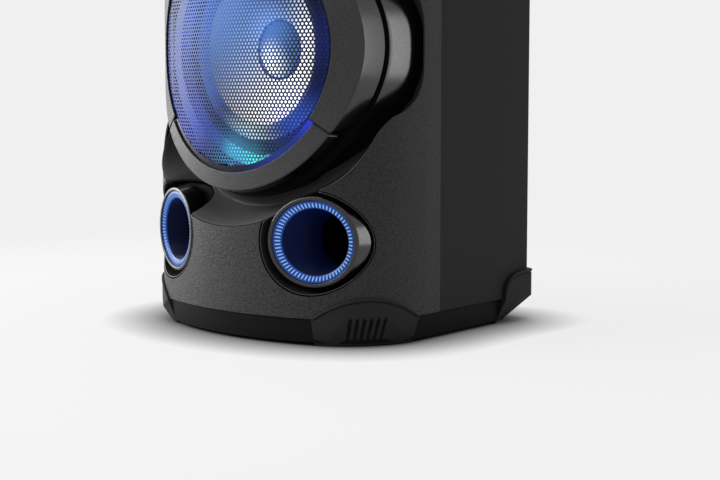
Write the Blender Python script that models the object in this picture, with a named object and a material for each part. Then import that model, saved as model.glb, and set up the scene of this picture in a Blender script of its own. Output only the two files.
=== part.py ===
"""Party speaker: a tall one-box loudspeaker, as an assembly of separate pieces.

Metres, +Z up. X runs to the right of someone who faces the speaker, the front faces -Y,
and the origin is on the floor under the middle of the box.
"""
import math

import bmesh
import bpy
from mathutils import Vector

# Cabinet: overall sizes, and the arcs of its plan
CABINET_WIDTH = 0.330
CABINET_DEPTH = 0.291
FRONT_RADIUS = 0.276
CORNER_RADIUS = 0.103
REAR_RADIUS = 0.008
PLINTH_HEIGHT = 0.0265
SHELL_TOP = 0.566
SHELL_WALL = 0.004
SIDE_SEAM_Y = -0.014
BOARD = 0.012

# Gaps between pieces
CLEARANCE = 0.0004
ROUND_CLEARANCE = 0.0008

# Feet
FOOT_HEIGHT = 0.020
REAR_FOOT_HEIGHT = 0.0265
FOOT_LIP = 0.001
FOOT_TOE = 0.008
REAR_FOOT_TOE = 0.019
FOOT_RIDGE = 0.38
FOOT_DIP = 0.625
FOOT_DIP_Z = 0.015
FOOT_PROUD = 0.002
REAR_FOOT_PROUD = 0.005
FOOT_DEPTH = 0.030
FRONT_FOOT_START = math.radians(1.0)
FRONT_FOOT_LAST = math.radians(82.5)
REAR_FOOT_REACH = 0.052
PLINTH_LIFT = 0.003
PLINTH_SLOPE = 0.006
PLINTH_LIP = 0.0012

# Woofer surround: the ring, its moat and the grille
WOOFER_Z = 0.283
MOAT_RADIUS = 0.173
MOAT_BACK_Y = -0.0396
MOAT_DEPTH = 0.060
COVE_START = 0.3
COVE_POWER = 1.5
RING_OUTER = 0.139
RING_INNER = 0.1212
RING_SETBACK = 0.0045
RING_DEPTH = 0.020
CHIN_DEPTH = 0.010
RING_WALL = 0.0025
GROOVE = 0.006
DOME_RADIUS = 1.135
SEAM_ANGLE = math.radians(35.2)
GRILLE_THICKNESS = 0.0012
GRILLE_PITCH = 0.0186
GRILLE_BAR = 0.0034
GRILLE_RIM = 0.004
BOWL_WALL = 0.0025

# Woofer driver, along its own axis
WOOFER_FACE_Y = -0.089
FRAME_RADIUS = 0.104
FRAME_THICKNESS = 0.003
CONE_RADIUS = 0.075
CONE_FALL = 0.033
CONE_WALL = 0.0012
CAP_RADIUS = 0.0286
CAP_HEIGHT = 0.0085
ROLL_RADIUS = 0.0063
COIL_RADIUS = 0.019
COIL_WALL = 0.0008
MAGNET_RADIUS = 0.050
MAGNET_THICKNESS = 0.018
PLATE_THICKNESS = 0.006
DRUM_RADIUS = 0.118
DRUM_WALL = 0.006
SCREW_RADIUS = 0.003
SCREW_HEAD = 0.0022
CONE_TRAVEL = 0.005
BASKET_ROOM = 0.012
COIL_GAP = 0.0022
WIRE = 0.0008
WINDING = 0.010
FRAME_LAND = 0.008
PLATE_RADIUS = 0.046
SPIDER_WAVE = 0.0012

# Bass ports
PORT_X = 0.097
PORT_Z = 0.099
PORT_SETBACK = 0.0064
RIM_RADIUS = 0.044
RIM_WALL = 0.0046
LIGHT_OUTER = 0.0388
LIGHT_SETBACK = 0.0012
LIGHT_FALL = 0.006
LIGHT_DEPTH = 0.0045
MOUTH_RADIUS = 0.0318
THROAT_RADIUS = 0.025
THROAT_Y = -0.082
TUBE_WALL = 0.002
TUBE_END_Y = 0.070
WELL_RADIUS = 0.051
WELL_WALL = 0.0024
WELL_FLOOR_Y = -0.060

# Tweeters, mirrored above the woofer
TWEETER_RISE = 0.184
HORN_THROAT = 0.012
HORN_THROAT_Y = -0.078
DRIVER_RADIUS = 0.030
DRIVER_DEPTH = 0.034

# Display window
DISPLAY_WIDTH = 0.080
DISPLAY_HEIGHT = 0.028
DISPLAY_Z = 0.535

# Top: cap, control panel, knobs and buttons
CAP_TOP = 0.600
DECK_Z = 0.590
DECK_WALL = 0.004
RIM_WIDTH = 0.020
RIM_SLOPE = 0.001
CAP_ROUND = 0.012
PANEL_THICKNESS = 0.0037
KNOB_RADIUS = 0.034
KNOB_TOP = 0.612
KNOB_Y = -0.030
KNOB_EDGE = 0.003
KNOB_ROOF = 0.006
DISH_RADIUS = 0.022
DISH_DEPTH = 0.002
MIC_KNOB_RADIUS = 0.010
MIC_KNOB_X = -0.062
MIC_KNOB_HEIGHT = 0.012
MIC_KNOB_ROOF = 0.003
MIC_KNOB_EDGE = 0.001
CONTROL_ROW_Y = 0.062
SHAFT_RADIUS = 0.003
BUTTON_RADIUS = 0.009
BUTTON_ARC = 0.078
BUTTON_STEP = math.radians(24.0)
BUTTON_TRAVEL = 0.0008
BUTTON_PROUD = 0.0015
BUTTON_EDGE = 0.0006
STEM_RADIUS = 0.002
JACK_RADIUS = 0.008
JACK_BORE = 0.0034
JACK_X = 0.062
JACK_STEP = 0.028
JACK_LENGTH = 0.016
JACK_PROUD = 0.001
CONTROL_BOARD_Z = 0.572
BOARD_SHEET = 0.0016
SWITCH = 0.003
SWITCH_HEIGHT = 0.0045
POST_INSET = 0.006

# Back: handle, terminals, inlet and vents
HANDLE_WIDTH = 0.120
HANDLE_HEIGHT = 0.044
HANDLE_DEPTH = 0.036
HANDLE_Z = 0.500
CUP_WALL = 0.003
CUP_FLANGE = 0.008
TERMINAL_WIDTH = 0.080
TERMINAL_HEIGHT = 0.046
TERMINAL_Z = 0.330
INLET_WIDTH = 0.028
INLET_HEIGHT = 0.020
INLET_INSET = 0.075
INLET_Z = 0.085
INLET_DEPTH = 0.020
PIN_SPREAD = 0.0043
PIN_RADIUS = 0.0012
VENT_COUNT = 6
VENT_WIDTH = 0.090
VENT_HEIGHT = 0.005
VENT_PITCH = 0.012
VENT_Z = 0.215
SOCKET_RADIUS = 0.0046
SOCKET_BORE = 0.0028

# Electronics
AMP_WIDTH = 0.190
AMP_HEIGHT = 0.120
AMP_Z = 0.250
STANDOFF = 0.012
SUPPLY_WIDTH = 0.110
SUPPLY_DEPTH = 0.070
SUPPLY_HEIGHT = 0.045
SINK_WIDTH = 0.110
SINK_HEIGHT = 0.060
SINK_DEPTH = 0.026
SINK_FINS = 7
SINK_BASE = 0.006

# Facets round a circle
LARGE_FACETS = 40
PORT_FACETS = 20
DRIVER_FACETS = 20
SMALL_FACETS = 10
HOLE_FACETS = 8

# Worked out from the sizes above
HALF = CABINET_WIDTH / 2
FRONT_Y = -(CABINET_DEPTH + REAR_FOOT_PROUD) / 2
BACK_Y = FRONT_Y + CABINET_DEPTH
TANGENT = math.asin((HALF - CORNER_RADIUS) / (FRONT_RADIUS - CORNER_RADIUS))
FRONT_CENTRE_Y = FRONT_Y + FRONT_RADIUS
CORNER_X = HALF - CORNER_RADIUS
FRONT_FOOT_FIRST = TANGENT + FRONT_FOOT_START
CORNER_Y = FRONT_CENTRE_Y - (FRONT_RADIUS - CORNER_RADIUS) * math.cos(TANGENT)
RIM_TILT = math.tan(math.asin(PORT_X / FRONT_RADIUS))
TWEETER_Z = WOOFER_Z + TWEETER_RISE
REAR_ARC = (HALF - REAR_RADIUS, BACK_Y - REAR_RADIUS, REAR_RADIUS)
BOX_FLOOR = PLINTH_HEIGHT + CLEARANCE
BOWL_INNER = RING_OUTER + BOWL_WALL / 2
INNER_X = HALF - BOARD - CLEARANCE
INLET_X = HALF - INLET_INSET
FRAME_Y = WOOFER_FACE_Y - CLEARANCE
SEAT_Y = FRAME_Y - FRAME_THICKNESS
CONE_NECK = COIL_RADIUS + CLEARANCE
REAR_END = BACK_Y + CUP_WALL + 0.001
PANEL_TOP = DECK_Z + CLEARANCE + PANEL_THICKNESS
FULL_TURN = 2 * math.pi


def clear_scene():
    """Take the start-up objects out of the scene."""
    for old in list(bpy.data.objects):
        bpy.data.objects.remove(old, do_unlink=True)


def paint(name, red, green, blue, roughness, metallic=0.0):
    """One Principled material of a plain colour."""
    material = bpy.data.materials.new(name)
    material.use_nodes = True
    shader = material.node_tree.nodes["Principled BSDF"]
    shader.inputs["Base Color"].default_value = (red, green, blue, 1.0)
    shader.inputs["Roughness"].default_value = roughness
    shader.inputs["Metallic"].default_value = metallic
    return material


def place(name, shape, material, at=(0.0, 0.0, 0.0)):
    """Turn a bmesh into a named object with its faces outwards, placed at a point."""
    bmesh.ops.recalc_face_normals(shape, faces=shape.faces)
    mesh = bpy.data.meshes.new(name)
    shape.to_mesh(mesh)
    shape.free()
    mesh.shade_smooth()
    mesh.set_sharp_from_angle(angle=math.radians(35))
    piece = bpy.data.objects.new(name, mesh)
    piece.location = at
    bpy.context.collection.objects.link(piece)
    mesh.materials.append(material)
    return piece


def loft(loops, joined=False):
    """Bridge closed loops of points; the two ends are capped unless the last meets the first."""
    shape = bmesh.new()
    rows = [[shape.verts.new(point) for point in loop] for loop in loops]
    pairs = list(zip(rows, rows[1:]))
    if joined:
        pairs.append((rows[-1], rows[0]))
    for low, high in pairs:
        for i in range(len(low)):
            j = (i + 1) % len(low)
            shape.faces.new((low[i], low[j], high[j], high[i]))
    if not joined:
        shape.faces.new(list(reversed(rows[0])))
        shape.faces.new(rows[-1])
    return shape


def hoop(section, facets, first=0.0, last=None, centre=(0.0, 0.0)):
    """Carry a closed section of (radius, y) pairs round the Y axis through centre (x, z)."""
    whole = last is None
    span = FULL_TURN if whole else last - first
    loops = []
    for k in range(facets if whole else facets + 1):
        angle = first + span * k / facets
        side, up = math.cos(angle), math.sin(angle)
        loops.append([Vector((centre[0] + r * side, y, centre[1] + r * up)) for r, y in section(angle)])
    return loft(loops, joined=whole)


def turned(profile, facets, along="Y"):
    """Stack circles of (radius, height) along an axis and cap the first and the last."""
    loops = []
    for radius, height in profile:
        loop = []
        for k in range(facets):
            angle = FULL_TURN * k / facets
            a, b = radius * math.cos(angle), radius * math.sin(angle)
            loop.append(Vector((a, height, b)) if along == "Y" else Vector((a, b, height)))
        loops.append(loop)
    return loft(loops)


def block(low, high):
    """A box between two corners."""
    loops = []
    for z in (low[2], high[2]):
        loops.append([Vector((low[0], low[1], z)), Vector((high[0], low[1], z)),
                      Vector((high[0], high[1], z)), Vector((low[0], high[1], z))])
    return loft(loops)


def together(shapes):
    """Put several closed shapes in one bmesh, as separate bodies."""
    whole = bmesh.new()
    for shape in shapes:
        part = bpy.data.meshes.new("part")
        bmesh.ops.recalc_face_normals(shape, faces=shape.faces)
        shape.to_mesh(part)
        shape.free()
        whole.from_mesh(part)
        bpy.data.meshes.remove(part)
    return whole


def shifted(shape, x=0.0, y=0.0, z=0.0):
    """Move a bmesh."""
    bmesh.ops.translate(shape, verts=shape.verts, vec=(x, y, z))
    return shape


def boolean(piece, shape, operation="DIFFERENCE"):
    """Cut a shape out of a piece, or join it on, with a hidden guide object."""
    guide = place(piece.name + "_guide", shape, piece.data.materials[0], piece.location)
    guide.hide_render = True
    guide.display_type = "WIRE"
    change = piece.modifiers.new("shape", "BOOLEAN")
    change.operation = operation
    change.object = guide
    change.solver = "EXACT"


def front_y(x):
    """How far back the front surface lies at a distance x from the middle."""
    reach = min(abs(x), HALF)
    if reach <= FRONT_RADIUS * math.sin(TANGENT):
        return FRONT_CENTRE_Y - math.sqrt(FRONT_RADIUS ** 2 - reach ** 2)
    return CORNER_Y - math.sqrt(CORNER_RADIUS ** 2 - (reach - CORNER_X) ** 2)


def ring_y(x, z):
    """The ring and grille follow the front, set back a little and domed up and down."""
    return front_y(x) + RING_SETBACK + z ** 2 / (2 * DOME_RADIUS)


def rim_y(x):
    """The slanted plane of a port's rim, x measured from the port's axis outwards."""
    return front_y(PORT_X) + PORT_SETBACK + x * RIM_TILT


def arc_stations(x, y, radius, first, last, steps):
    """Points on an arc of the plan, each with its outward normal, by angle from -Y towards +X."""
    stations = []
    for k in range(steps + 1):
        turn = first + (last - first) * k / steps
        out = Vector((math.sin(turn), -math.cos(turn)))
        stations.append((Vector((x, y)) + out * radius, out))
    return stations


def rear_hub():
    """The point that a rear foot and its corner of the plinth are drawn in towards."""
    return Vector((HALF - REAR_FOOT_REACH, BACK_Y - REAR_FOOT_REACH))


def front_foot_stations(first, last, steps):
    """Stations of a front foot: (point, outward normal, way in)."""
    arc = arc_stations(CORNER_X, CORNER_Y, CORNER_RADIUS, first, last, steps)
    return [(point, out, -out) for point, out in arc]


def rear_foot_stations(gap):
    """Stations of a rear foot, from the side round the corner to the back."""
    hub = rear_hub()
    straight = REAR_FOOT_REACH - REAR_RADIUS
    stations = []
    for k in range(3):
        along = straight * k / 3 if k else gap
        stations.append((Vector((HALF, hub.y + along)), Vector((1.0, 0.0))))
    stations += arc_stations(*REAR_ARC, math.pi / 2, math.pi, 3)
    for k in reversed(range(3)):
        along = straight * k / 3 if k else gap
        stations.append((Vector((hub.x + along, BACK_Y)), Vector((0.0, 1.0))))
    return [(point, out, (hub - point) / REAR_FOOT_REACH) for point, out in stations]


def right_front():
    """The right half of the front from the middle to the straight side: (point, outward normal)."""
    front = arc_stations(0.0, FRONT_CENTRE_Y, FRONT_RADIUS, 0.0, TANGENT, 4)
    return front + arc_stations(CORNER_X, CORNER_Y, CORNER_RADIUS, TANGENT, math.pi / 2, 8)[1:]


def right_outline():
    """The right half of the plan from front to back: (point, normal, way in at a foot or None)."""
    front = right_front() + arc_stations(*REAR_ARC, math.pi / 2, math.pi, 3)
    return [(point, out, None) for point, out in front]


def right_outline_at_feet(spread):
    """The same half of the plan with a doubled station at each end of a foot, where the plinth steps in.

    A spread widens the steps by that much at each end, which leaves a wall between the tray and the feet.
    """
    stations = []
    for point, out in arc_stations(0.0, FRONT_CENTRE_Y, FRONT_RADIUS, 0.0, TANGENT, 4)[:-1]:
        stations.append((point, out, None))
    turn = spread / CORNER_RADIUS
    front = front_foot_stations(FRONT_FOOT_FIRST - turn, FRONT_FOOT_LAST + turn, 6)
    rear = rear_foot_stations(-spread)
    stations.append((front[0][0], front[0][1], None))
    stations += front
    stations.append((front[-1][0], front[-1][1], None))
    stations.append((Vector((HALF, CORNER_Y)), Vector((1.0, 0.0)), None))
    stations.append((rear[0][0], rear[0][1], None))
    stations += rear
    stations.append((rear[-1][0], rear[-1][1], None))
    return stations


def whole_outline(spread):
    """The closed plan, both halves, with the steps at the feet unless spread is None."""
    right = right_outline() if spread is None else right_outline_at_feet(spread)
    left = []
    for point, out, way in reversed(right[1:]):
        mirrored = None if way is None else Vector((-way.x, way.y))
        left.append((Vector((-point.x, point.y)), Vector((-out.x, out.y)), mirrored))
    return right + left


def drawn_in(point, out, inset):
    """A point of the plan moved in by inset; the rear corners keep a small radius."""
    if abs(point.x) > HALF - REAR_RADIUS - CLEARANCE and point.y > BACK_Y - REAR_RADIUS - CLEARANCE:
        radius = max(REAR_RADIUS - inset, REAR_RADIUS / 4)
        side = math.copysign(HALF - inset - radius, point.x)
        return Vector((side + out.x * radius, BACK_Y - inset - radius + out.y * radius))
    return point - out * inset


def plan_loop(inset, z, foot_inset=None, spread=None):
    """The plan drawn in by inset, or by foot_inset inside the feet, as a loop at height z."""
    loop = []
    for point, out, way in whole_outline(spread):
        if way is not None:
            spot = point + way * foot_inset
        else:
            spot = drawn_in(point, out, inset)
        corner = Vector((spot.x, spot.y, z))
        if not loop or (corner - loop[-1]).length > CLEARANCE / 2:
            loop.append(corner)
    return loop


def front_path():
    """Stations of the moulded front from the right seam round to the left seam."""
    right = right_front()
    right.append((Vector((HALF, SIDE_SEAM_Y)), Vector((1.0, 0.0))))
    left = [(Vector((-p.x, p.y)), Vector((-n.x, n.y))) for p, n in right[1:]]
    return list(reversed(right)) + left


def swept_wall(path, outer, inner, low, high):
    """A wall along a path, between two insets and two heights."""
    loops = []
    for point, out in path:
        near = point - out * outer
        far = point - out * inner
        loops.append([Vector((near.x, near.y, low)), Vector((near.x, near.y, high)),
                      Vector((far.x, far.y, high)), Vector((far.x, far.y, low))])
    return loft(loops)


def rod(radius, low, high, facets, at=(0.0, 0.0), along="Z"):
    """A plain round rod along an axis; at is (x, y), or (x, z) for a rod along Y."""
    shape = turned([(radius, low), (radius, high)], facets, along)
    if along == "Y":
        return shifted(shape, x=at[0], z=at[1])
    return shifted(shape, x=at[0], y=at[1])


def make_plinth(plastic):
    """A hollow base tray with sloping sides; its corners step in to take the feet."""
    foot_inset = FOOT_DEPTH + CLEARANCE
    bottom = PLINTH_LIFT
    wall = 2 * SHELL_WALL
    inside = PLINTH_SLOPE + wall
    levels = [(PLINTH_SLOPE, bottom), (PLINTH_SLOPE / 3, PLINTH_HEIGHT / 2), (PLINTH_LIP, PLINTH_HEIGHT)]
    loops = [plan_loop(inset, z, foot_inset, 0.0) for inset, z in levels]
    loops.append(plan_loop(inside, PLINTH_HEIGHT, foot_inset + wall, SHELL_WALL))
    loops.append(plan_loop(inside, bottom + SHELL_WALL, foot_inset + wall, SHELL_WALL))
    place("plinth", loft(loops), plastic)


def foot_knee(across):
    """The height where a front foot's face turns in: a ridge in the middle, a dip each side, level at the ends."""
    spread = abs(across)
    if spread > FOOT_DIP:
        return FOOT_DIP_Z + (PLINTH_HEIGHT - FOOT_DIP_Z) * (spread - FOOT_DIP) / (1 - FOOT_DIP)
    down = max(spread - FOOT_RIDGE, 0.0) / (FOOT_DIP - FOOT_RIDGE)
    return PLINTH_HEIGHT + (FOOT_DIP_Z - PLINTH_HEIGHT) * down


def foot_section(station, toe, knee, top, proud, side):
    """A foot's section at one station: block under the box, sloping toe, and a lip that rises outside."""
    point, out, way = station
    inward = [(FOOT_DEPTH, PLINTH_HEIGHT), (FOOT_DEPTH, 0.0), (toe, 0.0)]
    outward = [(proud, knee), (proud, top), (CLEARANCE, top), (CLEARANCE, PLINTH_HEIGHT)]
    spots = [(point + way * offset, z) for offset, z in inward]
    spots += [(point + out * offset, z) for offset, z in outward]
    return [Vector((side * spot.x, spot.y, z)) for spot, z in spots]


def make_feet(rubber):
    """Four corner feet, each a block under the box with an arched lip outside it."""
    gap = CLEARANCE / CORNER_RADIUS
    front = front_foot_stations(FRONT_FOOT_FIRST + gap, FRONT_FOOT_LAST - gap, 16)
    rear = rear_foot_stations(CLEARANCE)
    lip = PLINTH_HEIGHT + FOOT_LIP
    for side, side_name in ((1, "right"), (-1, "left")):
        loops = []
        for k, station in enumerate(front):
            across = 2 * k / (len(front) - 1) - 1
            top = lip + FOOT_HEIGHT * (1 - across ** 2)
            loops.append(foot_section(station, FOOT_TOE, foot_knee(across), top, FOOT_PROUD, side))
        place("front_foot_" + side_name, loft(loops), rubber)
        loops = []
        for k, station in enumerate(rear):
            across = 2 * k / (len(rear) - 1) - 1
            toe = REAR_FOOT_TOE + (FOOT_TOE - REAR_FOOT_TOE) * across ** 2
            top = lip + REAR_FOOT_HEIGHT * math.sqrt(1 - across ** 4)
            loops.append(foot_section(station, toe, PLINTH_HEIGHT, top, REAR_FOOT_PROUD, side))
        place("rear_foot_" + side_name, loft(loops), rubber)


def make_front_shell(textured):
    """The moulded front: one curved wall with the moat, port, tweeter and display openings."""
    shell = place("front_shell", swept_wall(front_path(), 0.0, SHELL_WALL, BOX_FLOOR, SHELL_TOP), textured)
    start = FRONT_Y - 2 * SHELL_WALL
    boolean(shell, rod(MOAT_RADIUS, start, MOAT_BACK_Y, LARGE_FACETS, (0.0, WOOFER_Z), "Y"))
    for side in (-1, 1):
        for z in (PORT_Z, TWEETER_Z):
            boolean(shell, rod(WELL_RADIUS, start, WELL_FLOOR_Y, PORT_FACETS, (side * PORT_X, z), "Y"))
    half_width = DISPLAY_WIDTH / 2 + ROUND_CLEARANCE
    half_height = DISPLAY_HEIGHT / 2 + ROUND_CLEARANCE
    boolean(shell, block((-half_width, start, DISPLAY_Z - half_height),
                         (half_width, front_y(half_width) + 3 * SHELL_WALL, DISPLAY_Z + half_height)))


def make_display(glossy):
    """A dark display window that follows the front's curve."""
    edge = math.asin(DISPLAY_WIDTH / 2 / FRONT_RADIUS)
    path = arc_stations(0.0, FRONT_CENTRE_Y, FRONT_RADIUS, -edge, edge, 6)
    low, high = DISPLAY_Z - DISPLAY_HEIGHT / 2, DISPLAY_Z + DISPLAY_HEIGHT / 2
    place("display_window", swept_wall(path, CLEARANCE, SHELL_WALL, low, high), glossy)


def moat_edge(angle):
    """The moat's outer radius: its own edge, or the side wall where that is nearer."""
    side = max(abs(math.cos(angle)), SHELL_WALL)
    return min(MOAT_RADIUS - ROUND_CLEARANCE, (HALF - SHELL_WALL - ROUND_CLEARANCE) / side)


def moat_y(angle, radius):
    """The moat's surface: a floor well behind the front, rising in a cove to the shell's edge."""
    side = math.cos(angle)
    edge = moat_edge(angle)
    middle = (BOWL_INNER + edge) / 2
    edge_y = min(front_y(MOAT_RADIUS * side), MOAT_BACK_Y) + ROUND_CLEARANCE
    floor_y = max(front_y(middle * side) + MOAT_DEPTH, edge_y + BOWL_WALL)
    rise = (radius - BOWL_INNER) / (edge - BOWL_INNER)
    climb = max(rise - COVE_START, 0.0) / (1 - COVE_START)
    return floor_y + (edge_y - floor_y) * climb ** COVE_POWER


def moat_reach(angle):
    """The bowl's outer radius: the moat's edge, or one of the four wells that cut into it."""
    side, up = abs(math.cos(angle)), math.sin(angle)
    reach = moat_edge(angle)
    rise = TWEETER_RISE if up > 0 else WOOFER_Z - PORT_Z
    along = PORT_X * side + rise * abs(up)
    across = abs(PORT_X * abs(up) - rise * side)
    well = WELL_RADIUS + ROUND_CLEARANCE
    if across < well:
        reach = min(reach, along - math.sqrt(well ** 2 - across ** 2))
    return reach


def bowl_section(angle):
    """The bowl's section: an open channel round the drum, and a collar that the ring clips on."""
    side, up = math.cos(angle), math.sin(angle)
    outer = moat_reach(angle)
    span = outer - BOWL_INNER
    collar = RING_OUTER - RING_WALL - ROUND_CLEARANCE
    collar_in = collar - BOWL_WALL
    groove_y = ring_y(BOWL_INNER * side, BOWL_INNER * up) + RING_DEPTH + GROOVE
    front = ring_y(collar * side, collar * up) + RING_WALL + ROUND_CLEARANCE
    floor_y = moat_y(angle, BOWL_INNER)
    channel = [BOWL_INNER + span * share for share in (1.0, 0.85, 0.6, 0.3)]
    face = [(r, moat_y(angle, r)) for r in channel] + [(BOWL_INNER, floor_y)]
    back = [(r, moat_y(angle, r) + BOWL_WALL) for r in reversed(channel)]
    return face + [(BOWL_INNER, groove_y), (collar, groove_y), (collar, front), (collar_in, front),
                   (collar_in, floor_y + BOWL_WALL)] + back


def ring_section(depth):
    """A trim ring's section: a face, a deep outer wall and a short inner lip."""
    lip = RING_WALL
    outline = [(RING_INNER, 0.0), (RING_OUTER, 0.0), (RING_OUTER, depth), (RING_OUTER - lip, depth),
               (RING_OUTER - lip, lip), (RING_INNER + lip, lip), (RING_INNER + lip, CHIN_DEPTH - lip),
               (RING_INNER, CHIN_DEPTH - lip)]

    def section(angle):
        side, up = math.cos(angle), math.sin(angle)
        return [(r, ring_y(r * side, r * up) + back) for r, back in outline]
    return section


def domed_disc(radius, back, thickness, rings, facets):
    """A thin disc that follows the front's dome, as a closed sheet round (0, 0).

    Both faces are split along the same short diagonals, so that they never cross.
    """
    def loop(share, depth):
        points = []
        for k in range(facets):
            angle = FULL_TURN * k / facets
            x, z = share * radius * math.cos(angle), share * radius * math.sin(angle)
            points.append(Vector((x, ring_y(x, z) + back + depth, z)))
        return points
    shares = [max(k / rings, 0.04) for k in range(rings + 1)]
    loops = [loop(share, 0.0) for share in shares]
    loops += [loop(share, thickness) for share in reversed(shares)]
    sheet = loft(loops)
    bmesh.ops.triangulate(sheet, faces=sheet.faces, quad_method="SHORT_EDGE")
    return sheet


def grille_spots(reach):
    """Centres of a plain grid of openings, all within a reach of the middle."""
    count = math.ceil(reach / GRILLE_PITCH)
    steps = [(k + 0.5) * GRILLE_PITCH for k in range(-count, count)]
    return [(x, z) for x in steps for z in steps if math.hypot(x, z) <= reach]


def make_woofer_front(glossy, satin, mesh):
    """The moat's bowl, the two trim rings and the grille."""
    at = (0.0, WOOFER_Z)
    place("woofer_bowl", hoop(bowl_section, LARGE_FACETS + 8, centre=at), glossy)
    gap = CLEARANCE / RING_OUTER
    place("upper_ring", hoop(ring_section(RING_DEPTH), LARGE_FACETS - 12, -SEAM_ANGLE + gap,
                             math.pi + SEAM_ANGLE - gap, at), satin)
    place("chin_ring", hoop(ring_section(CHIN_DEPTH), 14, math.pi + SEAM_ANGLE + gap,
                            FULL_TURN - SEAM_ANGLE - gap, at), satin)
    radius = RING_INNER - ROUND_CLEARANCE
    disc = domed_disc(radius, RING_WALL / 2, GRILLE_THICKNESS, 3, DRIVER_FACETS + 8)
    grille = place("woofer_grille", disc, mesh, (0.0, 0.0, WOOFER_Z))
    hole = (GRILLE_PITCH - GRILLE_BAR) / 2
    spots = grille_spots(radius - GRILLE_RIM - hole)
    boolean(grille, together([rod(hole, FRONT_Y, WOOFER_FACE_Y, HOLE_FACETS, spot, "Y") for spot in spots]))


def y_ring(name, profile, material, facets=DRIVER_FACETS):
    """A turned ring on the woofer's axis, its origin on that axis."""
    return place(name, hoop(lambda angle: profile, facets), material, (0.0, 0.0, WOOFER_Z))


def screw_spots(radius):
    """Four screws on a circle round the woofer's axis, as (x, z) from that axis."""
    spots = []
    for k in range(4):
        angle = FULL_TURN * (k + 0.5) / 4
        spots.append((radius * math.cos(angle), radius * math.sin(angle)))
    return spots


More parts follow.
